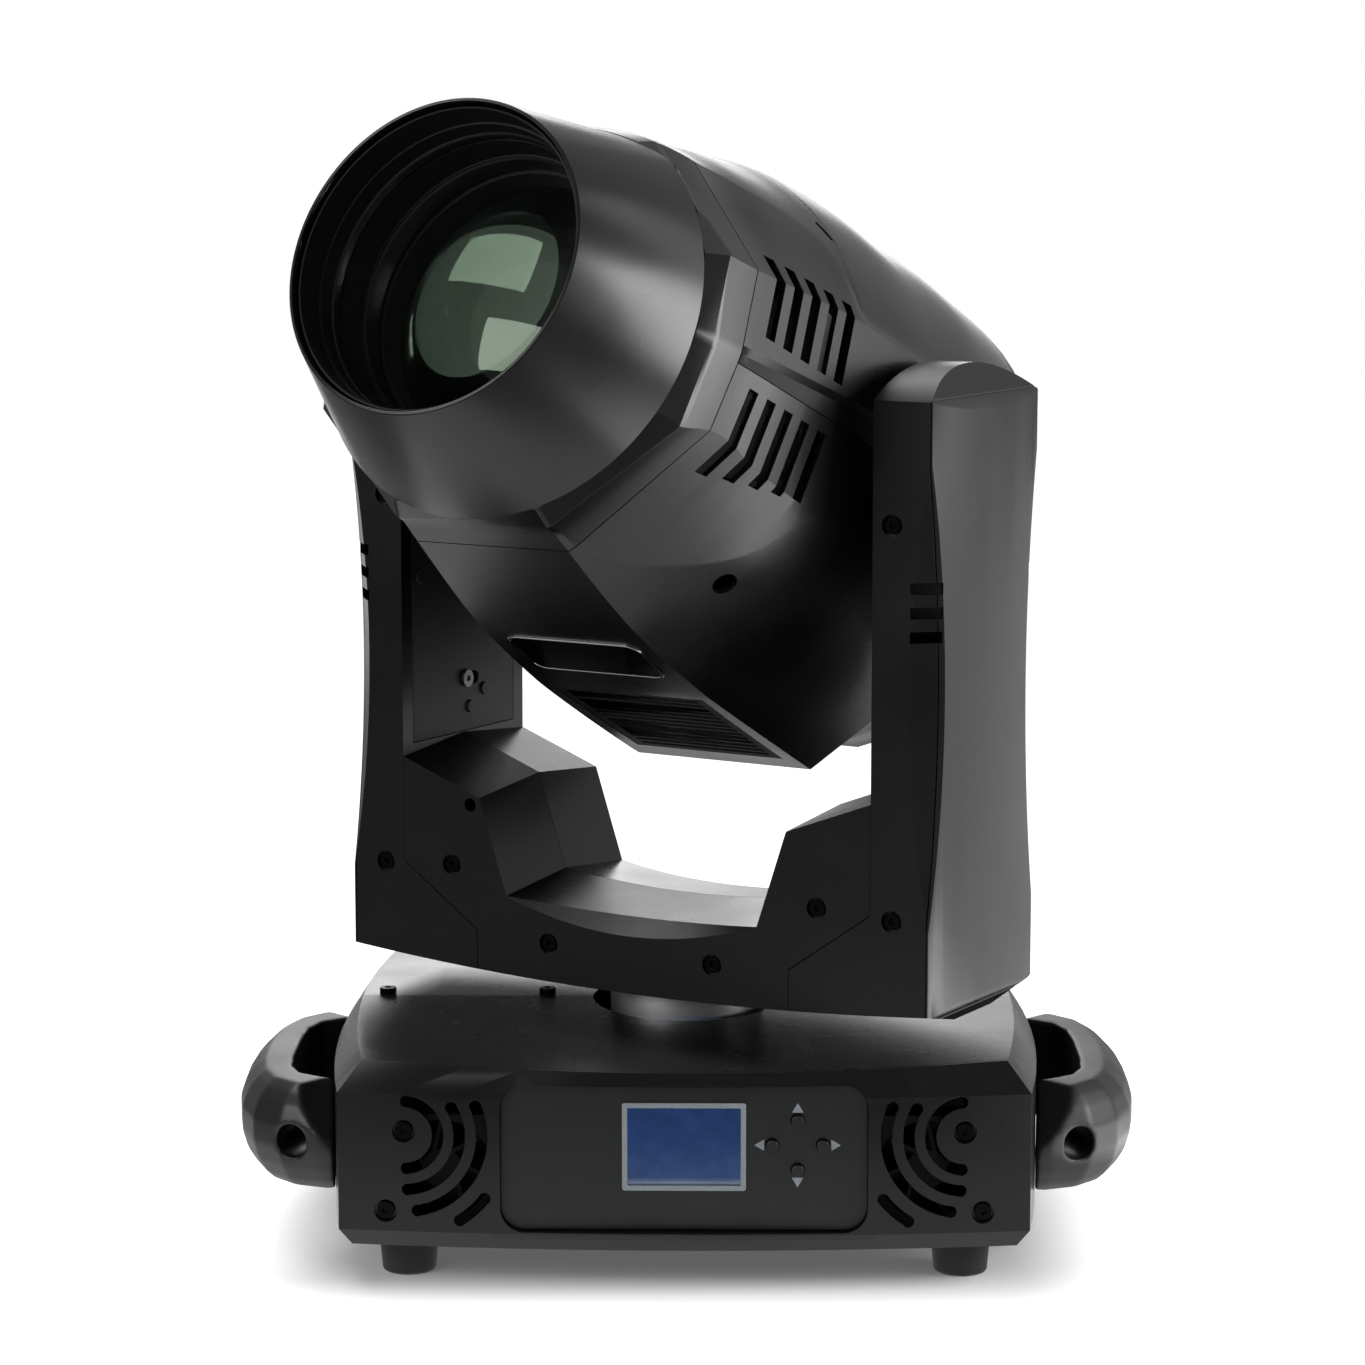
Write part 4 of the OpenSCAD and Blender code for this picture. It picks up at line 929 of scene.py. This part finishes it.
class STAGELIGHT_OT_stage(bpy.types.Operator):
    """Sets the floor, the lamps, the surroundings and the camera"""

    bl_idname = "stagelight.stage"
    bl_label = "Stage"

    def execute(self, context):
        scene = context.scene
        scene.view_settings.view_transform = "Standard"
        self.surroundings(scene)
        self.floor(scene)
        self.lamps(scene)
        camera = bpy.data.cameras.new("photo_camera")
        camera.lens = 103.8
        camera.sensor_width = 36.0
        camera.clip_end = 50
        seat = bpy.data.objects.new("photo_camera", camera)
        seat.location = PAN_AXIS + Vector((0.01946, -2.18697, 0.63309))
        seat.rotation_euler = (math.radians(90 - 8.5), 0, math.radians(0.57))
        scene.collection.objects.link(seat)
        scene.camera = seat
        return {"FINISHED"}

    def surroundings(self, scene):
        """A white backdrop, a pale wall behind and to the right, and a dim room elsewhere."""
        world = bpy.data.worlds.new("studio")
        scene.world = world
        world.use_nodes = True
        tree = world.node_tree
        tree.nodes.clear()
        coords = put(tree, "ShaderNodeTexCoord")
        facing = put(tree, "ShaderNodeVectorMath", {
            0: coords.outputs["Generated"], 1: Vector((0.5, 0.87, 0.0))}, operation="DOT_PRODUCT")
        room = put(tree, "ShaderNodeMapRange", {
            "Value": facing.outputs["Value"], "From Min": 0.1, "From Max": 0.7, "To Min": 0.18, "To Max": 0.42})
        behind = put(tree, "ShaderNodeVectorMath", {
            0: coords.outputs["Generated"], 1: Vector((0.0, 1.0, 0.0))}, operation="DOT_PRODUCT")
        backdrop = put(tree, "ShaderNodeMapRange", {
            "Value": behind.outputs["Value"], "From Min": 0.92, "From Max": 0.975, "To Min": 0.0, "To Max": 1.0})
        ray = put(tree, "ShaderNodeLightPath")
        mirrored = put(tree, "ShaderNodeMath", {
            0: ray.outputs["Is Glossy Ray"], 1: backdrop.outputs["Result"]}, operation="MULTIPLY")
        seen = put(tree, "ShaderNodeMath", {
            0: ray.outputs["Is Camera Ray"], 1: ray.outputs["Is Transmission Ray"]}, operation="MAXIMUM")
        white = put(tree, "ShaderNodeMath", {
            0: seen.outputs["Value"], 1: mirrored.outputs["Value"]}, operation="MAXIMUM")
        level = put(tree, "ShaderNodeMath", {
            0: white.outputs["Value"], 1: room.outputs["Result"]}, operation="MAXIMUM")
        back = put(tree, "ShaderNodeBackground", {"Color": (1, 1, 1, 1), "Strength": level.outputs["Value"]})
        put(tree, "ShaderNodeOutputWorld", {"Surface": back.outputs["Background"]})

    def floor(self, scene):
        """A white sweep of paper that takes the shadow and fades into the white behind, with a painted shadow where
        its lift falls away round the base, and grey cards round it that are seen only in reflections, as painted
        shade.
        """
        material, tree = blank("white_paper")
        ray = put(tree, "ShaderNodeLightPath")
        coords = put(tree, "ShaderNodeTexCoord")
        # Lift seen by the camera: nearly none in a box round the base's footprint, full a tenth of a metre past it.
        # This is a painted shadow under and round the base.
        centred = put(tree, "ShaderNodeVectorMath", {
            0: coords.outputs["Object"], 1: Vector((0.0, 0.03, 0.0))}, operation="SUBTRACT")
        mirrored = put(tree, "ShaderNodeVectorMath", {0: centred.outputs["Vector"]}, operation="ABSOLUTE")
        past = put(tree, "ShaderNodeVectorMath", {
            0: mirrored.outputs["Vector"], 1: Vector((0.17, 0.14, 0.0))}, operation="SUBTRACT")
        outside = put(tree, "ShaderNodeVectorMath", {
            0: past.outputs["Vector"], 1: Vector((0, 0, 0))}, operation="MAXIMUM")
        reach = put(tree, "ShaderNodeVectorMath", {0: outside.outputs["Vector"]}, operation="LENGTH")
        lift_past_painted_shadow = put(tree, "ShaderNodeMapRange", {
            "Value": reach.outputs["Value"], "From Min": 0.0, "From Max": 0.1, "To Min": 0.08, "To Max": 0.95},
            interpolation_type="SMOOTHSTEP")
        paper = put(tree, "ShaderNodeBsdfDiffuse", {"Color": (0.86, 0.86, 0.86, 1)})
        lift = put(tree, "ShaderNodeEmission", {"Color": (1, 1, 1, 1), "Strength": lift_past_painted_shadow.outputs["Result"]})
        both = put(tree, "ShaderNodeAddShader", {0: paper.outputs["BSDF"], 1: lift.outputs["Emission"]})
        bright = put(tree, "ShaderNodeEmission", {"Color": (1, 1, 1, 1), "Strength": 0.95})
        seen = put(tree, "ShaderNodeMixShader", {
            "Fac": ray.outputs["Is Camera Ray"], 1: paper.outputs["BSDF"], 2: both.outputs["Shader"]})
        through = put(tree, "ShaderNodeMath", {
            0: ray.outputs["Is Glossy Ray"], 1: ray.outputs["Is Transmission Ray"]}, operation="MAXIMUM")
        shown = put(tree, "ShaderNodeMixShader", {
            "Fac": through.outputs["Value"], 1: seen.outputs["Shader"], 2: bright.outputs["Emission"]})
        put(tree, "ShaderNodeOutputMaterial", {"Surface": shown.outputs["Shader"]})
        mesh = bmesh.new()
        bmesh.ops.create_grid(mesh, x_segments=1, y_segments=1, size=6)
        new_piece("paper_floor", mesh, material)
        # Grey cards that the camera doesn't see and that cast no shadow darken the floor wherever reflections see it:
        # painted shade in the reflections.
        card = finish(screen_print, "grey_card", linear("#959595"))
        for name, low, high in (
                ("front_card", (-5, -5), (5, -0.4)), ("left_card", (-5, -0.39), (-0.42, 2)),
                ("rear_card", (-0.4, 0.45), (0.6, 3))):
            mesh = bmesh.new()
            skin(mesh, [[(x, y, z) for x, y in corners_of(low, high)] for z in (0.001, 0.002)], True, True)
            piece = new_piece(name, mesh, card)
            piece.visible_camera = False
            piece.visible_shadow = False

    def lamps(self, scene):
        """Soft boxes on the right, behind and on the left, and a lit strip of table on the right."""
        for name, spot, target, size, power in (
                ("box_right", (1.0, -0.29, 0.52), (0.0, -0.29, 0.52), (0.42, 0.65), 7.7),
                ("box_right_dim", (1.05, 0.12, 0.93), (0.0, 0.12, 0.93), (0.38, 1.15), 1.6),
                ("box_back", (-0.45, 1.9, 0.6), (-0.45, 0.0, 0.6), (1.1, 0.4), 4.0),
                ("box_back_upper", (-0.1, 1.9, 1.3), (-0.1, 0.0, 1.3), (0.4, 0.6), 1.8),
                ("box_back_right", (0.28, 1.9, 0.72), (0.28, 0.0, 0.72), (0.36, 0.55), 1.0),
                ("box_back_high", (-0.4, 1.9, 2.26), (-0.4, 0.0, 1.0), (1.0, 0.7), 5.6),
                ("box_front_left", (-1.3, -1.2, 1.0), (-0.1, -0.17, 0.55), (1.3, 0.75), 13.0),
                ("box_left", (-0.8, 0.3, 1.6), (0.0, 0.0, 0.3), (0.7, 0.7), 6.0),
                ("table_right", (0.55, -0.2, 0.01), (0.55, -0.2, 1.0), (0.5, 0.6), 2.2)):
            lamp = bpy.data.lights.new(name, "AREA")
            lamp.shape = "RECTANGLE"
            lamp.size, lamp.size_y = size
            lamp.energy = power
            seat = bpy.data.objects.new(name, lamp)
            seat.location = spot
            seat.rotation_euler = (Vector(target) - Vector(spot)).to_track_quat("-Z", "Y").to_euler()
            seat.visible_camera = False
            scene.collection.objects.link(seat)


STEPS = (
    STAGELIGHT_OT_stage,
    STAGELIGHT_OT_base_covers,
    STAGELIGHT_OT_handles,
    STAGELIGHT_OT_controls,
    STAGELIGHT_OT_base_hardware,
    STAGELIGHT_OT_yoke,
    STAGELIGHT_OT_yoke_hardware,
    STAGELIGHT_OT_head_shells,
    STAGELIGHT_OT_head_trim,
    STAGELIGHT_OT_optics,
    STAGELIGHT_OT_insides,
)


class STAGELIGHT_PT_build(bpy.types.Panel):
    """Lists the sizes, the colours and the building steps"""

    bl_idname = "STAGELIGHT_PT_build"
    bl_label = "Stage Light"
    bl_space_type = "VIEW_3D"
    bl_region_type = "UI"
    bl_category = "Stage Light"

    def draw(self, context):
        for group in (sizes(), colours()):
            for name in group.__annotations__:
                self.layout.prop(group, name)
        for step in STEPS:
            self.layout.operator(step.bl_idname)


CLASSES = (LightColours, LightSizes, *STEPS, STAGELIGHT_PT_build)


def register():
    for each in CLASSES:
        bpy.utils.register_class(each)
    bpy.types.Scene.stage_light_colours = PointerProperty(type=LightColours)
    bpy.types.Scene.stage_light_sizes = PointerProperty(type=LightSizes)


def unregister():
    del bpy.types.Scene.stage_light_sizes
    del bpy.types.Scene.stage_light_colours
    for each in reversed(CLASSES):
        bpy.utils.unregister_class(each)


def main():
    register()
    for step in STEPS:
        group, name = step.bl_idname.split(".")
        getattr(getattr(bpy.ops, group), name)()


if __name__ == "__main__":
    main()
